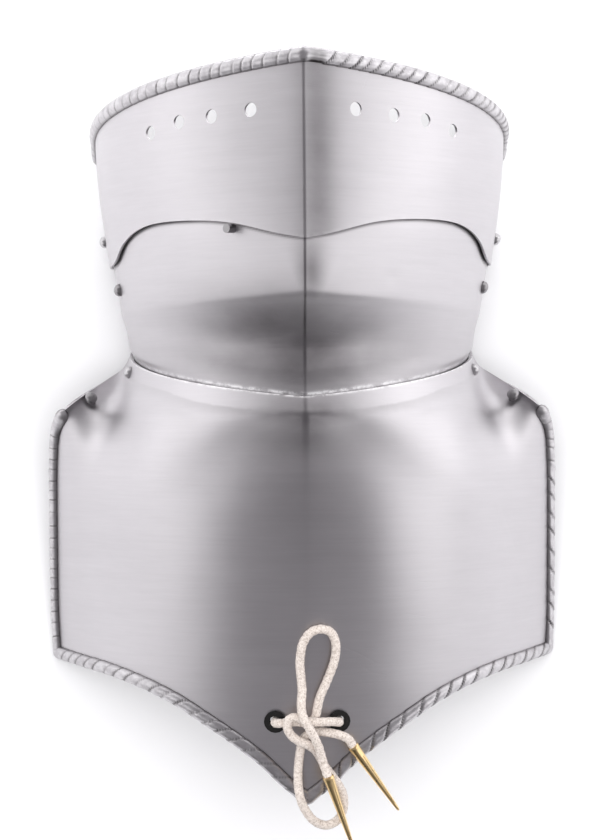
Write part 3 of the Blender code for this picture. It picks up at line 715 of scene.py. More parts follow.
def bib_column(k):
    """Points from the outline up to the collar's top."""
    share = k / BIB_SPAN
    crease = collar_crease(share)
    end = outline_point(k)
    dip = crease.z - bib_front(crease.x, crease.y)
    lift = end.z - bib_front(end.x, end.y)
    fade = DIP_FADE_FRONT + (DIP_FADE_BACK - DIP_FADE_FRONT) * share
    rib = []
    for step in range(BIB_RUNG + 1):
        t = (step / BIB_RUNG) ** BIB_RUNG_GROWTH
        spot = crease.lerp(end, t)
        spot.z = bib_front(spot.x, spot.y) + dip * (1 - t) ** fade + lift * t * t
        rib.append(spot)
    top = collar_point(share, COLLAR_TOP, COLLAR_TOP_RISE, SHEET + COLLAR_GAP)
    collar = [crease.lerp(top, n / COLLAR_RUNG) for n in range(1, COLLAR_RUNG + 1)]
    softer = (CREASE_SOFT_SIDE - CREASE_SOFT_FRONT) * min(1, share * CREASE_SOFT_GROWTH)
    return soften(rib[::-1], collar, CREASE_SOFT_FRONT + softer)


def soften(rib, collar, reach):
    """The column with its crease rounded over a reach on both sides."""
    crease = rib[-1]
    column = rib + collar
    centre = len(rib) - 1
    distances = [(point - crease).length for point in column]
    before = next((n for n in range(centre, -1, -1) if distances[n] >= reach), 0)
    after = next((n for n in range(centre, len(column)) if distances[n] >= reach), len(column) - 1)
    below, above = column[before], column[after]
    for n in range(before, after + 1):
        t = (n - before) / (after - before)
        column[n] = below.lerp(crease, t).lerp(crease.lerp(above, t), t)
    return column


# %% Rubbed chin plate and painted shade
RUB_HEIGHT = 0.0011
RUB_SPREAD = 0.0009
RUB_FRONT = 1.1
RUB_FADE = 1.3


def rubbed(grid):
    """Wear on the chin plate along the collar's top, strongest at the front."""
    wear = np.zeros(grid.shape[:2])
    for i, share in enumerate(plate_shares):
        seam = collar_point(abs(share), COLLAR_TOP, COLLAR_TOP_RISE, SHEET + COLLAR_GAP).y
        above = grid[i, :, 1] - seam
        strength = max(0.0, RUB_FRONT - RUB_FADE * abs(share))
        wear[i] = np.exp(-(((above - RUB_HEIGHT) / RUB_SPREAD) ** 2)) * strength
    return wear


chin_wear = rubbed(chin_grid)
# Painted shade under the chin's ledge and on the throat, and a small patch on the keel above the ledge.
CHIN_PAINTED_SHADE = (
    # x, y, half width, half height, strength
    (-0.016, 0.0540, 0.044, 0.019, 0.78),
    (0.006, 0.0450, 0.040, 0.024, 0.60),
    (0.001, 0.0380, 0.036, 0.019, 0.98),
    (-0.004, 0.0380, 0.066, 0.017, 0.72),
    (0.0030, 0.0780, 0.0075, 0.022, 0.74),
)
# A thin painted shadow on the chin plate just below the upper plate's lower edge.
SHADE_LINE = 0.0009
SHADE_LINE_STRENGTH = 0.95
chin_painted_shade = painted_shade_spots(chin_grid, CHIN_PAINTED_SHADE)
for i, share in enumerate(plate_shares):
    below_edge = chin_grid[i, :, 1] - (upper_ends(share)[0] - 0.5 * SHADE_LINE)
    line = SHADE_LINE_STRENGTH * np.exp(-((below_edge / SHADE_LINE) ** 2))
    chin_painted_shade[i] = np.maximum(chin_painted_shade[i], line)
chin_plate = add_piece("chin_plate_steel", sheet_mesh("chin_plate_steel", chin_grid, chin_wear, chin_painted_shade))
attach(chin_plate, "chin")
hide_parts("chin_plate")
print("chin plate faces", len(chin_plate.data.polygons))

# %% [markdown]
# The shoulders are where the bib turns from the neck to its corner. A smith planishes such a place
# with light blows until no ridge is left, and here each point of the grid is drawn toward the
# middle of its neighbours. The edge, the roped side and the crease stay where they are.

# %% Bib mesh
SHOULDER_ROUNDS = 36
SHOULDER_INNER_X = 0.078
SHOULDER_FADE_X = 0.016
SHOULDER_LOWER_Y = -0.040
SHOULDER_FADE_Y = 0.020
BIB_COLUMNS_A_POINT = 9
CLOSE_COLUMNS = (0.03, 0.06, 0.18, 8.96, 9.04)


def planished(grid, share, rounds):
    for _ in range(rounds):
        middle = (grid[:-2, 1:-1] + grid[2:, 1:-1] + grid[1:-1, :-2] + grid[1:-1, 2:]) / 4
        grid[1:-1, 1:-1] += (middle - grid[1:-1, 1:-1]) * share[1:-1, 1:-1, None]
    return grid


even = [n / BIB_COLUMNS_A_POINT for n in range(BIB_COLUMNS_A_POINT * BIB_SPAN + 1)]
bib_shares = sorted(set(even) | set(CLOSE_COLUMNS))
half = np.array([[tuple(point) for point in bib_column(k)] for k in bib_shares])
mirrored = half[:0:-1] * np.array([-1.0, 1.0, 1.0])
bib_grid = np.concatenate([mirrored, half])
shoulder_share = np.clip((np.abs(bib_grid[:, :, 0]) - SHOULDER_INNER_X) / SHOULDER_FADE_X, 0, 1)
shoulder_share *= np.clip((bib_grid[:, :, 1] - SHOULDER_LOWER_Y) / SHOULDER_FADE_Y, 0, 1)
shoulder_share[:, BIB_RUNG - 1:] = 0.0
bib_grid = hammered(planished(bib_grid, shoulder_share, SHOULDER_ROUNDS), 13.0)
bib_path = bib_grid[:, 0, :]
bib_length = path_lengths(bib_path)
bib_middle = len(bib_shares) - 1
corner_left = bib_length[bib_middle - bib_shares.index(BIB_CORNER)]
corner_right = bib_length[bib_middle + bib_shares.index(BIB_CORNER)]
bib_total = bib_length[-1]
bib_rope = roped_mesh(
    "bib_rope", bib_path, grid_normals(bib_grid)[:, 0], BIB_ROLL / 2,
    [
        (0.016, corner_left - 0.004, 0.0062, 0.10, 0.00016, 0.00030, 0.00040),
        (corner_left + 0.004, bib_total / 2 - 0.002, 0.0094, -1.00, 0.00030, 0.00055, 0.00070),
        (bib_total / 2 + 0.002, corner_right - 0.004, 0.0108, -0.90, 0.00050, 0.00060, 0.00090),
        (corner_right + 0.004, bib_total - 0.040, 0.0096, -1.00, 0.00035, 0.00055, 0.00085),
        (bib_total - 0.040, bib_total - 0.008, 0.0062, -0.35, 0.00016, 0.00034, 0.00045),
    ],
    seed=11,
)
# Painted shade round the front of the collar's crease, and a faint painted shade down the middle of the bib.
BIB_PAINTED_SHADE = (
    # x, y, half width, half height, strength
    (0.001, 0.0010, 0.036, 0.014, 0.62),
    (0.001, 0.0110, 0.027, 0.016, 0.84),
    (0.000, -0.0300, 0.024, 0.040, 0.20),
)
# Painted shade in a narrow band just under the crease, strongest at the front and fading to the sides.
CREASE_PAINTED_SHADE = 0.47
CREASE_SHADE_REACH = 0.0042
CREASE_SHADE_HALF_WIDTH = 0.07
CREASE_SHADE_FRONT = 1.3
below_crease = np.linalg.norm(bib_grid - bib_grid[:, BIB_RUNG:BIB_RUNG + 1], axis=2)
below_crease[:, BIB_RUNG + 1:] = 1.0
crease_away = np.abs(bib_grid[:, BIB_RUNG, 0]) / CREASE_SHADE_HALF_WIDTH
crease_fade = np.clip(CREASE_SHADE_FRONT - crease_away, 0, 1)
crease_painted_shade = CREASE_PAINTED_SHADE * np.exp(-((below_crease / CREASE_SHADE_REACH) ** 2)) * crease_fade[:, None]
bib_painted_shade = np.maximum(painted_shade_spots(bib_grid, BIB_PAINTED_SHADE), crease_painted_shade)
bib_wear = edge_wear(bib_grid, first=0.0, last=0.8)
bib_plate = add_piece("bib_plate_steel", sheet_mesh("bib_plate_steel", bib_grid, bib_wear, bib_painted_shade))
print("bib edge", round(bib_total, 3), "m, corners at", round(corner_left, 3), round(corner_right, 3))

# %% Lace holes
LACE_HOLE_DIAMETER = 0.0078
LACE_HOLE_INWARD = 0.984
LACE_HOLE_UP = 0.0007
lace_hole_places = []
for name in ("eyelet_left", "eyelet_right"):
    low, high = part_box(name)
    middle = (Vector(low) + Vector(high)) / 2
    across = middle.x * LACE_HOLE_INWARD
    lace_hole_places.append(land_from_front(bib_plate, across, middle.y + LACE_HOLE_UP))
cut_holes(bib_plate, lace_hole_places, LACE_HOLE_DIAMETER)
join_rope(bib_plate, bib_rope)
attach(bib_plate, "bib")
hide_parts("bib_plate")

# %% [markdown]
# ## Lace
# A cotton cord runs through both eyelets and is tied in a bow. Its route is a list of points,
# each given across, above the eyelets' line and out from the bib's front.

# %% Lace route
LACE_ROUTE = (
    # across, above, out
    (0.0100, -0.0270, 0.0116),
    (0.0088, -0.0235, 0.0108),
    (0.0074, -0.0190, 0.0102),
    (0.0056, -0.0125, 0.0112),
    (0.0034, -0.0070, 0.0124),
    (0.0010, -0.0025, 0.0128),
    (-0.0014, 0.0018, 0.0122),
    (-0.0028, 0.0058, 0.0098),
    (-0.0030, 0.0105, 0.0064),
    (-0.0025, 0.0160, 0.0036),
    (-0.0030, 0.0225, 0.0028),
    (-0.0035, 0.0295, 0.0026),
    (-0.0030, 0.0350, 0.0026),
    (-0.0018, 0.0400, 0.0026),
    (0.0018, 0.0450, 0.0026),
    (0.0070, 0.0467, 0.0026),
    (0.0120, 0.0447, 0.0026),
    (0.0143, 0.0388, 0.0026),
    (0.0135, 0.0305, 0.0026),
    (0.0100, 0.0210, 0.0026),
    (0.0065, 0.0130, 0.0026),
    (0.0050, 0.0070, 0.0026),
    (0.0038, 0.0022, 0.0026),
    (0.0002, -0.0004, 0.0026),
    (-0.0045, 0.0000, 0.0026),
    (-0.0090, 0.0000, 0.0034),
    (-0.0132, -0.0004, 0.0048),
    (-0.0157, -0.0006, 0.0030),
    (-0.0158, -0.0001, 0.0000),
    (-0.0151, 0.0006, -0.0035),
    (-0.0138, 0.0012, -0.0075),
    (-0.0100, 0.0014, -0.0115),
    (-0.0040, 0.0014, -0.0138),
    (0.0040, 0.0014, -0.0138),
    (0.0100, 0.0014, -0.0115),
    (0.0138, 0.0012, -0.0075),
    (0.0151, 0.0006, -0.0035),
    (0.0158, -0.0001, 0.0000),
    (0.0157, -0.0004, 0.0030),
    (0.0132, 0.0002, 0.0058),
    (0.0090, 0.0004, 0.0072),
    (0.0040, 0.0004, 0.0076),
    (-0.0010, 0.0010, 0.0076),
    (-0.0056, 0.0028, 0.0078),
    (-0.0090, 0.0020, 0.0084),
    (-0.0100, -0.0020, 0.0086),
    (-0.0080, -0.0062, 0.0082),
    (-0.0040, -0.0092, 0.0078),
    (0.0004, -0.0112, 0.0072),
    (0.0040, -0.0142, 0.0050),
    (0.0064, -0.0184, 0.0032),
    (0.0088, -0.0228, 0.0040),
    (0.0118, -0.0268, 0.0062),
    (0.0152, -0.0318, 0.0064),
    (0.0178, -0.0378, 0.0048),
    (0.0178, -0.0448, 0.0034),
    (0.0148, -0.0506, 0.0026),
    (0.0090, -0.0530, 0.0026),
    (0.0028, -0.0500, 0.0044),
    (-0.0020, -0.0430, 0.0064),
    (-0.0042, -0.0360, 0.0066),
    (-0.0048, -0.0290, 0.0044),
    (-0.0045, -0.0220, 0.0027),
    (-0.0036, -0.0150, 0.0026),
    (-0.0022, -0.0092, 0.0026),
    (0.0012, -0.0058, 0.0026),
    (0.0058, -0.0050, 0.0028),
    (0.0110, -0.0054, 0.0050),
    (0.0166, -0.0068, 0.0062),
    (0.0203, -0.0088, 0.0068),
    (0.0227, -0.0125, 0.0070),
)
LACE = 0.0045
LACE_STEP = 0.00045


def smooth_path(route, steps=9):
    """Points along a curve through the route's points."""
    route = [Vector(point) for point in route]
    ends = [2 * route[0] - route[1]] + route + [2 * route[-1] - route[-2]]
    fine = []
    for before, start, end, after in zip(ends, ends[1:], ends[2:], ends[3:]):
        for n in range(steps):
            t = n / steps
            a = start + (end - before) / 6
            b = end - (after - start) / 6
            near = start * (1 - t) ** 3 + a * 3 * (1 - t) ** 2 * t
            fine.append(near + b * 3 * (1 - t) * t * t + end * t ** 3)
    return fine + [route[-1]]


lace_route = []
for across, above, out in LACE_ROUTE:
    y = NECK_Y - EYELET_BELOW_NECK + above
    lace_route.append((across, y, bib_front(across, y) + out))
lace_path, lace_at = resample(np.array([tuple(p) for p in smooth_path(lace_route)]), LACE_STEP)
print("lace", round(lace_at[-1], 3), "m,", len(lace_path), "points")

# %% [markdown]
# The cord is braided: eight strands cross over each other, which shows as small oblong bumps in
# two slanting directions. The tube's radius rises and falls with that pattern.

# %% Braided cord
LACE_SIDES = 20
BRAID_PITCH = 0.0036
BRAID_STRANDS = 4
BRAID_HEIGHT = 0.12
BRAID_CORE = 0.99


def transported_frames(path):
    """Side and up vectors carried along a path without twisting."""
    tangent = np.gradient(path, axis=0)
    tangent /= np.linalg.norm(tangent, axis=1, keepdims=True)
    side = Vector(tangent[0]).orthogonal().normalized()
    sides = []
    for direction in tangent:
        direction = Vector(direction)
        side = (side - direction * side.dot(direction)).normalized()
        sides.append(tuple(side))
    sides = np.array(sides)
    return sides, np.cross(tangent, sides)


def braided_mesh(name, path, at, radius):
    sides, ups = transported_frames(path)
    angles = np.linspace(0, 2 * math.pi, LACE_SIDES, endpoint=False)
    turn = 2 * math.pi * at[:, None] / BRAID_PITCH
    one = np.cos((angles[None, :] * BRAID_STRANDS + turn) / 2) ** 2
    other = np.cos((angles[None, :] * BRAID_STRANDS - turn) / 2) ** 2
    swell = 1 + BRAID_HEIGHT * (np.maximum(one, other) - 0.75)
    ring = np.cos(angles)[None, :, None] * sides[:, None, :] + np.sin(angles)[None, :, None] * ups[:, None, :]
    return tube_mesh(name, path[:, None, :] + ring * (radius * swell)[:, :, None])


lace_mesh = braided_mesh("lace_cord", lace_path, lace_at, LACE / 2 * BRAID_CORE)
lace = add_piece("lace_cord", lace_mesh, sharp_angle=60)
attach(lace, "bib")
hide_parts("lace")
print("lace faces", len(lace.data.polygons))

# %% [markdown]
# ## Aglets
# A thin brass sheet is rolled to a cone and nipped onto each end of the cord, so it threads
# easily. The seam of the roll shows as a fine line, and the point is blunt.

# %% Aglets
AGLET_SIDES = 28
AGLET_ROWS = (
    # along, radius
    (-0.030, 1.02),
    (-0.029, 1.10),
    (0.000, 1.12),
    (0.020, 1.06),
    (0.120, 0.96),
    (0.400, 0.74),
    (0.700, 0.52),
    (0.930, 0.35),
    (0.985, 0.27),
    (1.000, 0.12),
)
AGLET_LENGTH = 0.0430
AGLET_MOUTH = 0.0052
AGLET_RINGS = 60
AGLET_GAP = 0.0008
AGLET_LOOK_BACK = 11
AGLET_DROOP = math.radians(20)
SEAM_DEPTH = 0.00022
SEAM_SIDE = 5
SEAM_START = 0.02
SEAM_END = 0.9


def aglet_mesh(name, place):
    bm = bmesh.new()
    rings = []
    for n in range(AGLET_RINGS + 1):
        t = n / AGLET_RINGS
        along = AGLET_ROWS[0][0] + (1 - AGLET_ROWS[0][0]) * t
        radius = AGLET_MOUTH / 2 * between(AGLET_ROWS, along, 1)
        ring = []
        for k in range(AGLET_SIDES):
            angle = 2 * math.pi * k / AGLET_SIDES
            seam = SEAM_DEPTH if k == SEAM_SIDE and SEAM_START < t < SEAM_END else 0.0
            r = radius - seam
            point = Vector((r * math.cos(angle), r * math.sin(angle), along * AGLET_LENGTH))
            ring.append(bm.verts.new(place @ point))
        rings.append(ring)
    for a, b in zip(rings, rings[1:]):
        for k in range(AGLET_SIDES):
            bm.faces.new((a[k], a[(k + 1) % AGLET_SIDES], b[(k + 1) % AGLET_SIDES], b[k]))
    bm.faces.new(rings[0][::-1])
    bm.faces.new(rings[-1])
    bmesh.ops.recalc_face_normals(bm, faces=bm.faces)
    return mesh_from(name, bm)


aglets = []
for name, end, before in (
    ("aglet_left", lace_path[0], lace_path[AGLET_LOOK_BACK]),
    ("aglet_right", lace_path[-1], lace_path[-1 - AGLET_LOOK_BACK]),
):
    end = Vector(end)
    heading = end - Vector(before)
    level = math.hypot(heading.x, heading.y)
    down = Vector((heading.x, heading.y, -level * math.tan(AGLET_DROOP))).normalized()
    turn = down.to_track_quat("Z", "Y").to_matrix().to_4x4()
    place = Matrix.Translation(end + down * AGLET_GAP) @ turn
    aglet = add_piece(name + "_brass", aglet_mesh(name, place), sharp_angle=35)
    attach(aglet, "bib")
    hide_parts(name)
    aglets.append(aglet)
print("aglets", [piece.name for piece in aglets])

# %% [markdown]
# ## Rivets and the catch
# A rivet is set hot or cold with a hammer and a cupped punch, so its head is nearly round and a
# little off centre. Each head is turned from a profile at the solid model's rivet, found by the
# axis that its points lie evenly round. The catch keeps the solid model's shape.

# %% Rivets
RIVET_HEAD = 0.0066
RIVET_RISE = 0.0031
RIVET_SHANK = 0.0042
RIVET_BURR = 0.0064
BURR_THICKNESS = 0.0009
RIVET_ROWS = 10
RIVET_SIDES = 28
RIVET_UNEVEN = 0.02
RIVET_TILT = 0.0001
DOME_FULLNESS = 0.9
BURR_TAPER = 0.9


def rivet_place(node):
    """A rivet's crown as a place with Z along the rivet, and the rivet's length."""
    points = np.unique(np.array([tuple(v.co) for v in node.data.vertices]).round(6), axis=0)
    centre = points.mean(axis=0)
    values, vectors = np.linalg.eigh(np.cov((points - centre).T))
    axis = vectors[:, 2] if values[1] - values[0] < values[2] - values[1] else vectors[:, 0]
    axis = axis * math.copysign(1, axis[0] * centre[0])
    along = (points - centre) @ axis
    crown = Vector(centre + axis * along.max())
    turn = Vector((0, 0, 1)).rotation_difference(Vector(axis))
    return Matrix.Translation(crown) @ turn.to_matrix().to_4x4(), along.max() - along.min()


def rivet_mesh(name, place, length, seed):
    lean = random.Random(seed).uniform(0, 2 * math.pi)
    profile = []
    for n in range(1, RIVET_ROWS + 1):
        turn = math.radians(90) * n / RIVET_ROWS
        radius = RIVET_HEAD / 2 * math.sin(turn) ** DOME_FULLNESS
        profile.append((radius, RIVET_RISE * (math.cos(turn) - 1)))
    profile += [
        (RIVET_SHANK / 2, -RIVET_RISE),
        (RIVET_SHANK / 2, BURR_THICKNESS - length),
        (RIVET_BURR / 2, BURR_THICKNESS - length),
        (RIVET_BURR / 2 * BURR_TAPER, -length),
    ]
    points = [place @ Vector((0, 0, 0))]
    for radius, height in profile:
        for k in range(RIVET_SIDES):
            angle = 2 * math.pi * k / RIVET_SIDES
            across = radius * (1 + RIVET_UNEVEN * math.cos(2 * angle + lean))
            tilt = RIVET_TILT * math.cos(angle + lean) if height > -RIVET_RISE * 0.95 else 0.0
            points.append(place @ Vector((across * math.cos(angle), across * math.sin(angle), height - tilt)))
    faces = [(0, 1 + k, 1 + (k + 1) % RIVET_SIDES) for k in range(RIVET_SIDES)]
    for row in range(len(profile) - 1):
        for k in range(RIVET_SIDES):
            a = 1 + row * RIVET_SIDES + k
            b = 1 + row * RIVET_SIDES + (k + 1) % RIVET_SIDES
            faces.append((a, a + RIVET_SIDES, b + RIVET_SIDES, b))
    faces.append(tuple(range(1 + (len(profile) - 1) * RIVET_SIDES, 1 + len(profile) * RIVET_SIDES)))
    return closed_mesh(name, [tuple(point) for point in points], faces)


rivets = []
for name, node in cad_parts.items():
    if "rivet" not in name:
        continue
    place, length = rivet_place(node)
    rivet = add_piece(name + "_steel", rivet_mesh(name + "_steel", place, length, len(rivets)))
    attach(rivet, "bib" if "shoulder" in name else "chin")
    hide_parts(name)
    rivets.append(rivet)
print(len(rivets), "rivets")

# %% Catch
catch = add_piece("catch_steel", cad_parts["catch"].data.copy())
catch.data.materials.clear()
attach(catch, "chin")
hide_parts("catch")
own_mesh(catch)

# %% [markdown]
# ## Shader groups
# Satin steel has a fine grain from an abrasive belt, cloudy patches where it was polished more or
# less, thin scratches and brighter worn edges. Each effect is a node group, so each steel can
# use it in its own strength.

# %% Group helper
def make_group(name, inputs, outputs):
    group = bpy.data.node_groups.new(name, "ShaderNodeTree")
    for label, kind, value in inputs:
        socket = group.interface.new_socket(name=label, in_out="INPUT", socket_type=kind)
        socket.default_value = value
    for label, kind in outputs:
        group.interface.new_socket(name=label, in_out="OUTPUT", socket_type=kind)
    entry = group.nodes.new("NodeGroupInput")
    leave = group.nodes.new("NodeGroupOutput")
    return group, entry, leave


def feed(tree, value, socket):
    """Gives a socket a plain value or another node's output."""
    if isinstance(value, bpy.types.NodeSocket):
        tree.links.new(value, socket)
    else:
        socket.default_value = value


def math_node(tree, operation, *values, clamp=False):
    node = tree.nodes.new("ShaderNodeMath")
    node.operation = operation
    node.use_clamp = clamp
    for socket, value in zip(node.inputs, values):
        feed(tree, value, socket)
    return node.outputs[0]


def stretched_noise(tree, coordinates, scale, stretch, detail=4.0, rough=0.55):
    """Noise squeezed along some axes, as scratches of a belt are."""
    mapping = tree.nodes.new("ShaderNodeMapping")
    mapping.inputs["Scale"].default_value = stretch
    tree.links.new(coordinates, mapping.inputs["Vector"])
    texture = tree.nodes.new("ShaderNodeTexNoise")
    texture.inputs["Detail"].default_value = detail
    texture.inputs["Roughness"].default_value = rough
    feed(tree, scale, texture.inputs["Scale"])
    tree.links.new(mapping.outputs["Vector"], texture.inputs["Vector"])
    return texture.outputs["Fac"]


# %% Brushed grain group
def build_grain_group():
    """Fine lines that run across the plates: a value and a height."""
    group, entry, leave = make_group(
        "brushed_grain",
        [("Scale", "NodeSocketFloat", 60.0)],
        [("Lines", "NodeSocketFloat"), ("Clouds", "NodeSocketFloat")],
    )
    place = group.nodes.new("ShaderNodeTexCoord").outputs["Object"]
    fine = stretched_noise(group, place, entry.outputs["Scale"], (0.5, 12.0, 0.7), 5.0, 0.7)
    coarse = stretched_noise(group, place, entry.outputs["Scale"], (0.12, 3.5, 0.2), 3.0, 0.6)
    fine_share = math_node(group, "MULTIPLY", fine, 0.65)
    coarse_share = math_node(group, "MULTIPLY", coarse, 0.35)
    group.links.new(math_node(group, "ADD", fine_share, coarse_share), leave.inputs["Lines"])
    clouds = stretched_noise(group, place, 14.0, (1.0, 1.0, 1.0), 5.0, 0.55)
    group.links.new(clouds, leave.inputs["Clouds"])
    return group


grain_group = build_grain_group()


# %% Scratch group
def build_scratch_group():
    """Thin scattered scratches in two directions."""
    group, entry, leave = make_group(
        "fine_scratches", [("Amount", "NodeSocketFloat", 0.5)], [("Scratches", "NodeSocketFloat")]
    )
    place = group.nodes.new("ShaderNodeTexCoord").outputs["Object"]
    found = None
    for turn, scale in ((0.35, 40.0), (-0.5, 55.0), (1.3, 30.0)):
        mapping = group.nodes.new("ShaderNodeMapping")
        mapping.inputs["Rotation"].default_value = (0.0, 0.3, turn)
        mapping.inputs["Scale"].default_value = (0.12, 2.2, 1.0)
        group.links.new(place, mapping.inputs["Vector"])
        cells = group.nodes.new("ShaderNodeTexVoronoi")
        cells.feature = "DISTANCE_TO_EDGE"
        cells.inputs["Scale"].default_value = scale
        group.links.new(mapping.outputs["Vector"], cells.inputs["Vector"])
        thin = math_node(group, "LESS_THAN", cells.outputs["Distance"], 0.012)
        patches = stretched_noise(group, place, 18.0 + scale * 0.2, (1, 1, 1), 2.0)
        here = math_node(group, "MULTIPLY", thin, math_node(group, "GREATER_THAN", patches, 0.60))
        found = here if found is None else math_node(group, "MAXIMUM", found, here)
    group.links.new(math_node(group, "MULTIPLY", found, entry.outputs["Amount"]), leave.inputs["Scratches"])
    return group


scratch_group = build_scratch_group()


# %% Wear group
def build_marks_group():
    """Worn places, grime, and painted shade from the meshes' marks, broken up by noise."""
    group, entry, leave = make_group(
        "wear_and_grime",
        [("Break up", "NodeSocketFloat", 260.0)],
        [("Worn", "NodeSocketFloat"), ("Grimy", "NodeSocketFloat"), ("Tarnished", "NodeSocketFloat")],
    )
    place = group.nodes.new("ShaderNodeTexCoord").outputs["Object"]
    patches = stretched_noise(group, place, entry.outputs["Break up"], (0.6, 1.0, 1.0), 5.0, 0.65)
    for mask, low, high, socket in (("wear", 0.40, 0.58, "Worn"), ("grime", 0.10, 0.50, "Grimy")):
        read = group.nodes.new("ShaderNodeAttribute")
        read.attribute_name = mask
        spread = group.nodes.new("ShaderNodeMapRange")
        spread.inputs["From Min"].default_value = low
        spread.inputs["From Max"].default_value = high
        group.links.new(patches, spread.inputs["Value"])
        broken = math_node(group, "MULTIPLY", read.outputs["Fac"], spread.outputs["Result"])
        group.links.new(broken, leave.inputs[socket])
    # Painted shade from the meshes' marks, made blotchy by noise.
    read = group.nodes.new("ShaderNodeAttribute")
    read.attribute_name = "tarnish"
    blotches = stretched_noise(group, place, 45.0, (0.5, 1.0, 1.0))
    uneven = math_node(group, "MULTIPLY_ADD", blotches, 0.7, 0.6)
    painted_shade_mask = math_node(group, "MULTIPLY", read.outputs["Fac"], uneven, clamp=True)
    group.links.new(painted_shade_mask, leave.inputs["Tarnished"])
    return group


marks_group = build_marks_group()


# %% Patch group
def build_patch_group():
    """Soft patches of one size, for finishes that aren't brushed."""
    group, entry, leave = make_group(
        "soft_patches",
        [("Scale", "NodeSocketFloat", 300.0), ("Roughness", "NodeSocketFloat", 0.6)],
        [("Patches", "NodeSocketFloat")],
    )
    texture = group.nodes.new("ShaderNodeTexNoise")
    texture.inputs["Detail"].default_value = 4.0
    group.links.new(entry.outputs["Scale"], texture.inputs["Scale"])
    group.links.new(entry.outputs["Roughness"], texture.inputs["Roughness"])
    group.links.new(group.nodes.new("ShaderNodeTexCoord").outputs["Object"], texture.inputs["Vector"])
    group.links.new(texture.outputs["Fac"], leave.inputs["Patches"])
    return group


patch_group = build_patch_group()


# %% Parts of a material
def new_material(name):
    material = bpy.data.materials.new(name)
    material.use_nodes = True
    tree = material.node_tree
    return material, tree, tree.nodes["Principled BSDF"]


def use_group(tree, group, **values):
    node = tree.nodes.new("ShaderNodeGroup")
    node.node_tree = group
    for label, value in values.items():
        node.inputs[label].default_value = value
    return node.outputs


def colour_mix(tree, share, first, second):
    """Blend of two colours, each a plain colour or another node's output."""
    mix = tree.nodes.new("ShaderNodeMix")
    mix.data_type = "RGBA"
    tree.links.new(share, mix.inputs[0])
    feed(tree, first, mix.inputs[6])
    feed(tree, second, mix.inputs[7])
    return mix.outputs[2]


def add_bump(tree, shader, height, strength, distance):
    bump = tree.nodes.new("ShaderNodeBump")
    bump.inputs["Strength"].default_value = strength
    bump.inputs["Distance"].default_value = distance
    tree.links.new(height, bump.inputs["Height"])
    tree.links.new(bump.outputs["Normal"], shader.inputs["Normal"])


print("groups", [group.name for group in bpy.data.node_groups])

# %% [markdown]
# ## Steel
# Satin steel is a metal with a middling roughness. The grain feeds a very low bump and varies
# the roughness, and the clouds shift colour and roughness over centimetres. Painted shade lies on
# the throat, under the ledge, in the crease, beside the keel, below the upper plate's edge and on
# the roll. The rivets and the catch have the same finish in darker tones, and the pivot and neck
# rivets are the brighter ones.

# %% Satin steel
WORN_COLOUR = (0.92, 0.91, 0.92, 1)
# The colour for grime and for the painted shade at the rope's nick.
GRIME_AND_SHADE_COLOUR = (0.09, 0.082, 0.08, 1)
# The colour that the painted shade darkens the steel to.
PAINTED_SHADE_COLOUR = (0.15, 0.14, 0.147, 1)
LINE_ROUGHNESS = 0.10
CLOUD_ROUGHNESS = 0.14
WORN_SMOOTHNESS = 0.08


def steel_material(name, colour, dark, roughness, grain, scratches, tarnish):
    material, tree, shader = new_material(name)
    shader.inputs["Metallic"].default_value = 1.0
    brushed = use_group(tree, grain_group)
    marks = use_group(tree, marks_group)
    lines = brushed["Lines"]
    clouds = brushed["Clouds"]
    # This argument darkens the steel's own colour and sets how cloudy it is. It paints no shade.
    spread = math_node(tree, "MULTIPLY_ADD", lines, grain, 1.0 - tarnish - grain * 0.5)
    cloudy = math_node(tree, "MULTIPLY", clouds, tarnish)
    steel = colour_mix(tree, math_node(tree, "ADD", spread, cloudy, clamp=True), dark, colour)
    # Painted shade, made blotchy, darkens the steel where the meshes mark it.
    steel = colour_mix(tree, marks["Tarnished"], steel, PAINTED_SHADE_COLOUR)
    steel = colour_mix(tree, marks["Worn"], steel, WORN_COLOUR)
    # Grime in the grooves, under the roll and inside, and painted shade at the rope's nick.
    steel = colour_mix(tree, marks["Grimy"], steel, GRIME_AND_SHADE_COLOUR)
    tree.links.new(steel, shader.inputs["Base Color"])
    rough = math_node(tree, "MULTIPLY_ADD", lines, LINE_ROUGHNESS, roughness - LINE_ROUGHNESS / 2)
    cloud_change = math_node(tree, "MULTIPLY", math_node(tree, "SUBTRACT", clouds, 0.5), CLOUD_ROUGHNESS)
    rough = math_node(tree, "ADD", rough, cloud_change)
    smoother = math_node(tree, "MULTIPLY", marks["Worn"], WORN_SMOOTHNESS)
    rough = math_node(tree, "SUBTRACT", rough, smoother)
    tree.links.new(rough, shader.inputs["Roughness"])
    scratched = use_group(tree, scratch_group, Amount=scratches)["Scratches"]
    height = math_node(tree, "SUBTRACT", lines, scratched)
    add_bump(tree, shader, height, strength=0.22, distance=0.0002)
    return material


satin_steel = steel_material(
    "satin_steel_finish", (0.66, 0.64, 0.66, 1), (0.36, 0.345, 0.36, 1), 0.40,
    grain=0.45, scratches=0.8, tarnish=0.35,
)
dark_steel = steel_material(
    "rivet_steel_finish", (0.42, 0.41, 0.42, 1), (0.14, 0.13, 0.135, 1), 0.34,
    grain=0.15, scratches=0.4, tarnish=0.5,
)
bright_steel = steel_material(
    "bright_rivet_finish", (0.62, 0.61, 0.62, 1), (0.30, 0.29, 0.30, 1), 0.30,
    grain=0.15, scratches=0.4, tarnish=0.3,
)
for piece in rivets + [catch]:
    piece.data.materials.append(bright_steel if piece.name.startswith(("pivot", "neck")) else dark_steel)
for piece in (upper_plate, chin_plate, bib_plate):
    piece.data.materials.clear()
    piece.data.materials.append(satin_steel)
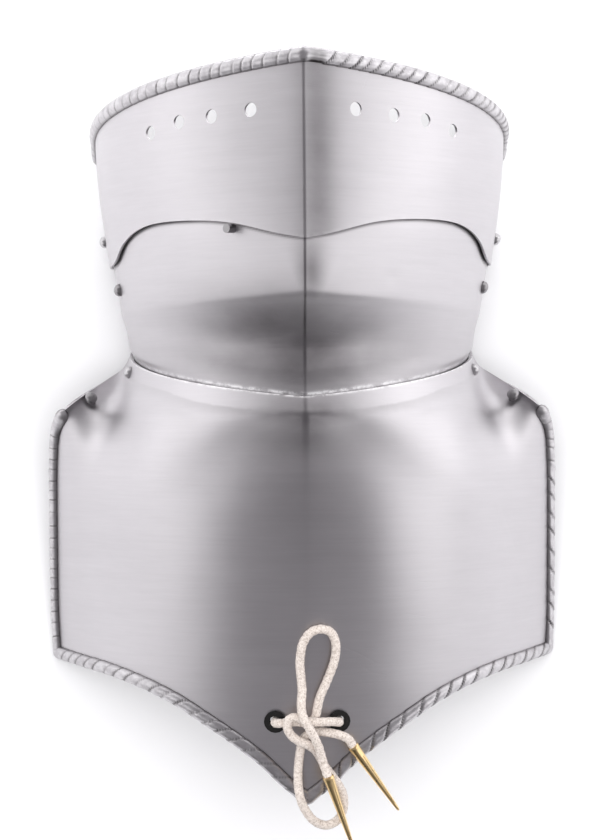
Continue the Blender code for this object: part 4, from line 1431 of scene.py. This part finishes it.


# %% [markdown]
# ## Cotton, brass and enamel
# Cotton scatters light softly, and its colour carries painted warm shadows between its strands. The
# brass is a smooth rolled sheet with a few duller patches. The eyelets are black with a soft gloss.

# %% Cotton
def cotton_material():
    material, tree, shader = new_material("cotton_finish")
    shader.inputs["Roughness"].default_value = 0.95
    shader.inputs["Sheen Weight"].default_value = 0.15
    shader.inputs["Sheen Roughness"].default_value = 0.6
    fibres = use_group(tree, patch_group, Scale=1600.0, Roughness=0.7)["Patches"]
    shade = use_group(tree, patch_group, Scale=900.0, Roughness=0.6)["Patches"]
    mixed = math_node(tree, "MULTIPLY", math_node(tree, "ADD", fibres, shade), 0.5)
    # The ramp's dark end is painted shadow between the strands.
    ramp = tree.nodes.new("ShaderNodeValToRGB")
    shadow, light = ramp.color_ramp.elements
    shadow.position = 0.34
    shadow.color = (0.38, 0.31, 0.26, 1)
    light.position = 0.56
    light.color = (0.84, 0.76, 0.70, 1)
    tree.links.new(mixed, ramp.inputs["Fac"])
    tree.links.new(ramp.outputs["Color"], shader.inputs["Base Color"])
    add_bump(tree, shader, mixed, strength=0.6, distance=0.0004)
    return material


lace.data.materials.append(cotton_material())


# %% Brass and enamel
def plain_material(name, colour, other, metallic, low_rough, high_rough, scale, bump_strength):
    material, tree, shader = new_material(name)
    shader.inputs["Metallic"].default_value = metallic
    patches = use_group(tree, patch_group, Scale=scale, Roughness=0.6)["Patches"]
    tree.links.new(colour_mix(tree, patches, colour, other), shader.inputs["Base Color"])
    rough = math_node(tree, "MULTIPLY_ADD", patches, high_rough - low_rough, low_rough)
    tree.links.new(rough, shader.inputs["Roughness"])
    add_bump(tree, shader, patches, bump_strength, distance=0.0002)
    return material


brass_finish = plain_material(
    "brass_finish", (0.96, 0.76, 0.44, 1), (0.86, 0.60, 0.27, 1), metallic=1.0,
    low_rough=0.20, high_rough=0.38, scale=300.0, bump_strength=0.15,
)
enamel_finish = plain_material(
    "enamel_finish", (0.003, 0.003, 0.003, 1), (0.008, 0.0075, 0.007, 1), metallic=0.0,
    low_rough=0.45, high_rough=0.62, scale=500.0, bump_strength=0.2,
)
for aglet in aglets:
    aglet.data.materials.append(brass_finish)
for name in ("eyelet_left", "eyelet_right"):
    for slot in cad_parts[name].material_slots:
        slot.material = enamel_finish

# %% [markdown]
# ## Floor and light
# A plain pale floor and large soft lights, as on a product table. On each side, one soft box is
# low beside the face, and one each is for the chest, the collar and the shoulder. They light the
# flanks of the keel and leave its middle darker, which shows the shape.

# %% Floor
def plain_square(name, half_size, segments, finish, colour):
    bm = bmesh.new()
    bmesh.ops.create_grid(bm, x_segments=segments, y_segments=segments, size=half_size)
    square = add_object(name, mesh_from(name, bm))
    material, _, shader = new_material(finish)
    shader.inputs["Base Color"].default_value = colour
    shader.inputs["Roughness"].default_value = 0.9
    square.data.materials.append(material)
    return square, shader


floor, floor_shader = plain_square("floor", 4.0, 8, "floor_white", (0.92, 0.92, 0.93, 1))
floor_shader.inputs["Specular IOR Level"].default_value = 0.1
print("floor", tuple(floor.dimensions))

# %% [markdown]
# A black card stands in front, out of the picture. It gives the ledge under the chin something
# dark to mirror, as a photographer does to bring a form out.

# %% Dark card
card, _ = plain_square("dark_card", 0.5, 1, "card_black", (0.02, 0.02, 0.02, 1))
card.location = (0.0, -1.3, 0.42)
card.rotation_euler = (math.radians(90), 0, 0)
card.scale = (1.7, 0.84, 1.0)
card.visible_camera = False
print("card at", tuple(card.location))


# %% Lights
def soft_box(name, place, target, size, power, in_mirror=True):
    data = bpy.data.lights.new(name, "AREA")
    data.shape = "RECTANGLE"
    data.size, data.size_y = size
    data.energy = power
    light = add_object(name, data)
    light.location = place
    light.rotation_euler = (Vector(target) - Vector(place)).to_track_quat("-Z", "Y").to_euler()
    light.visible_glossy = in_mirror


SIDE_BOXES = (
    # name, across, along, height, target, size, power
    ("low_box_", 1.30, 0.36, 0.20, (0, 0.15, 0.1), (0.62, 0.52), 1.5),
    ("chest_box_", 1.20, -0.28, 0.48, (0, -0.03, 0.05), (0.64, 0.90), 1.95),
    ("collar_box_", 1.05, 1.00, 0.50, (0, 0, 0.1), (1.1, 0.9), 2.75),
    ("shoulder_box_", 0.50, 1.25, 0.80, (0, 0, 0.1), (0.9, 0.7), 1.5),
)
RIGHT_STRENGTH = 1.22
RIGHT_CHEST_LIFT = 0.06
for side, end, strength in ((-1, "left", 1.0), (1, "right", RIGHT_STRENGTH)):
    for name, across, along, height, target, size, power in SIDE_BOXES:
        lift = RIGHT_CHEST_LIFT if end == "right" and name == "chest_box_" else 0.0
        soft_box(name + end, (side * across, along, height + lift), target, size, power * strength)
soft_box("under_fill", (0.0, 0.75, 0.09), (0, 0.05, 0.0), (0.5, 0.16), 6.0, in_mirror=False)
soft_box("floor_wash", (0.0, 0.0, 2.4), (0, 0, 0), (3.0, 3.0), 64, in_mirror=False)
world = bpy.data.worlds.new("studio")
world.use_nodes = True
background = world.node_tree.nodes["Background"]
background.inputs["Color"].default_value = (0.31, 0.30, 0.315, 1)
background.inputs["Strength"].default_value = 1.0
bpy.context.scene.world = world
bpy.context.scene.view_settings.view_transform = "Standard"
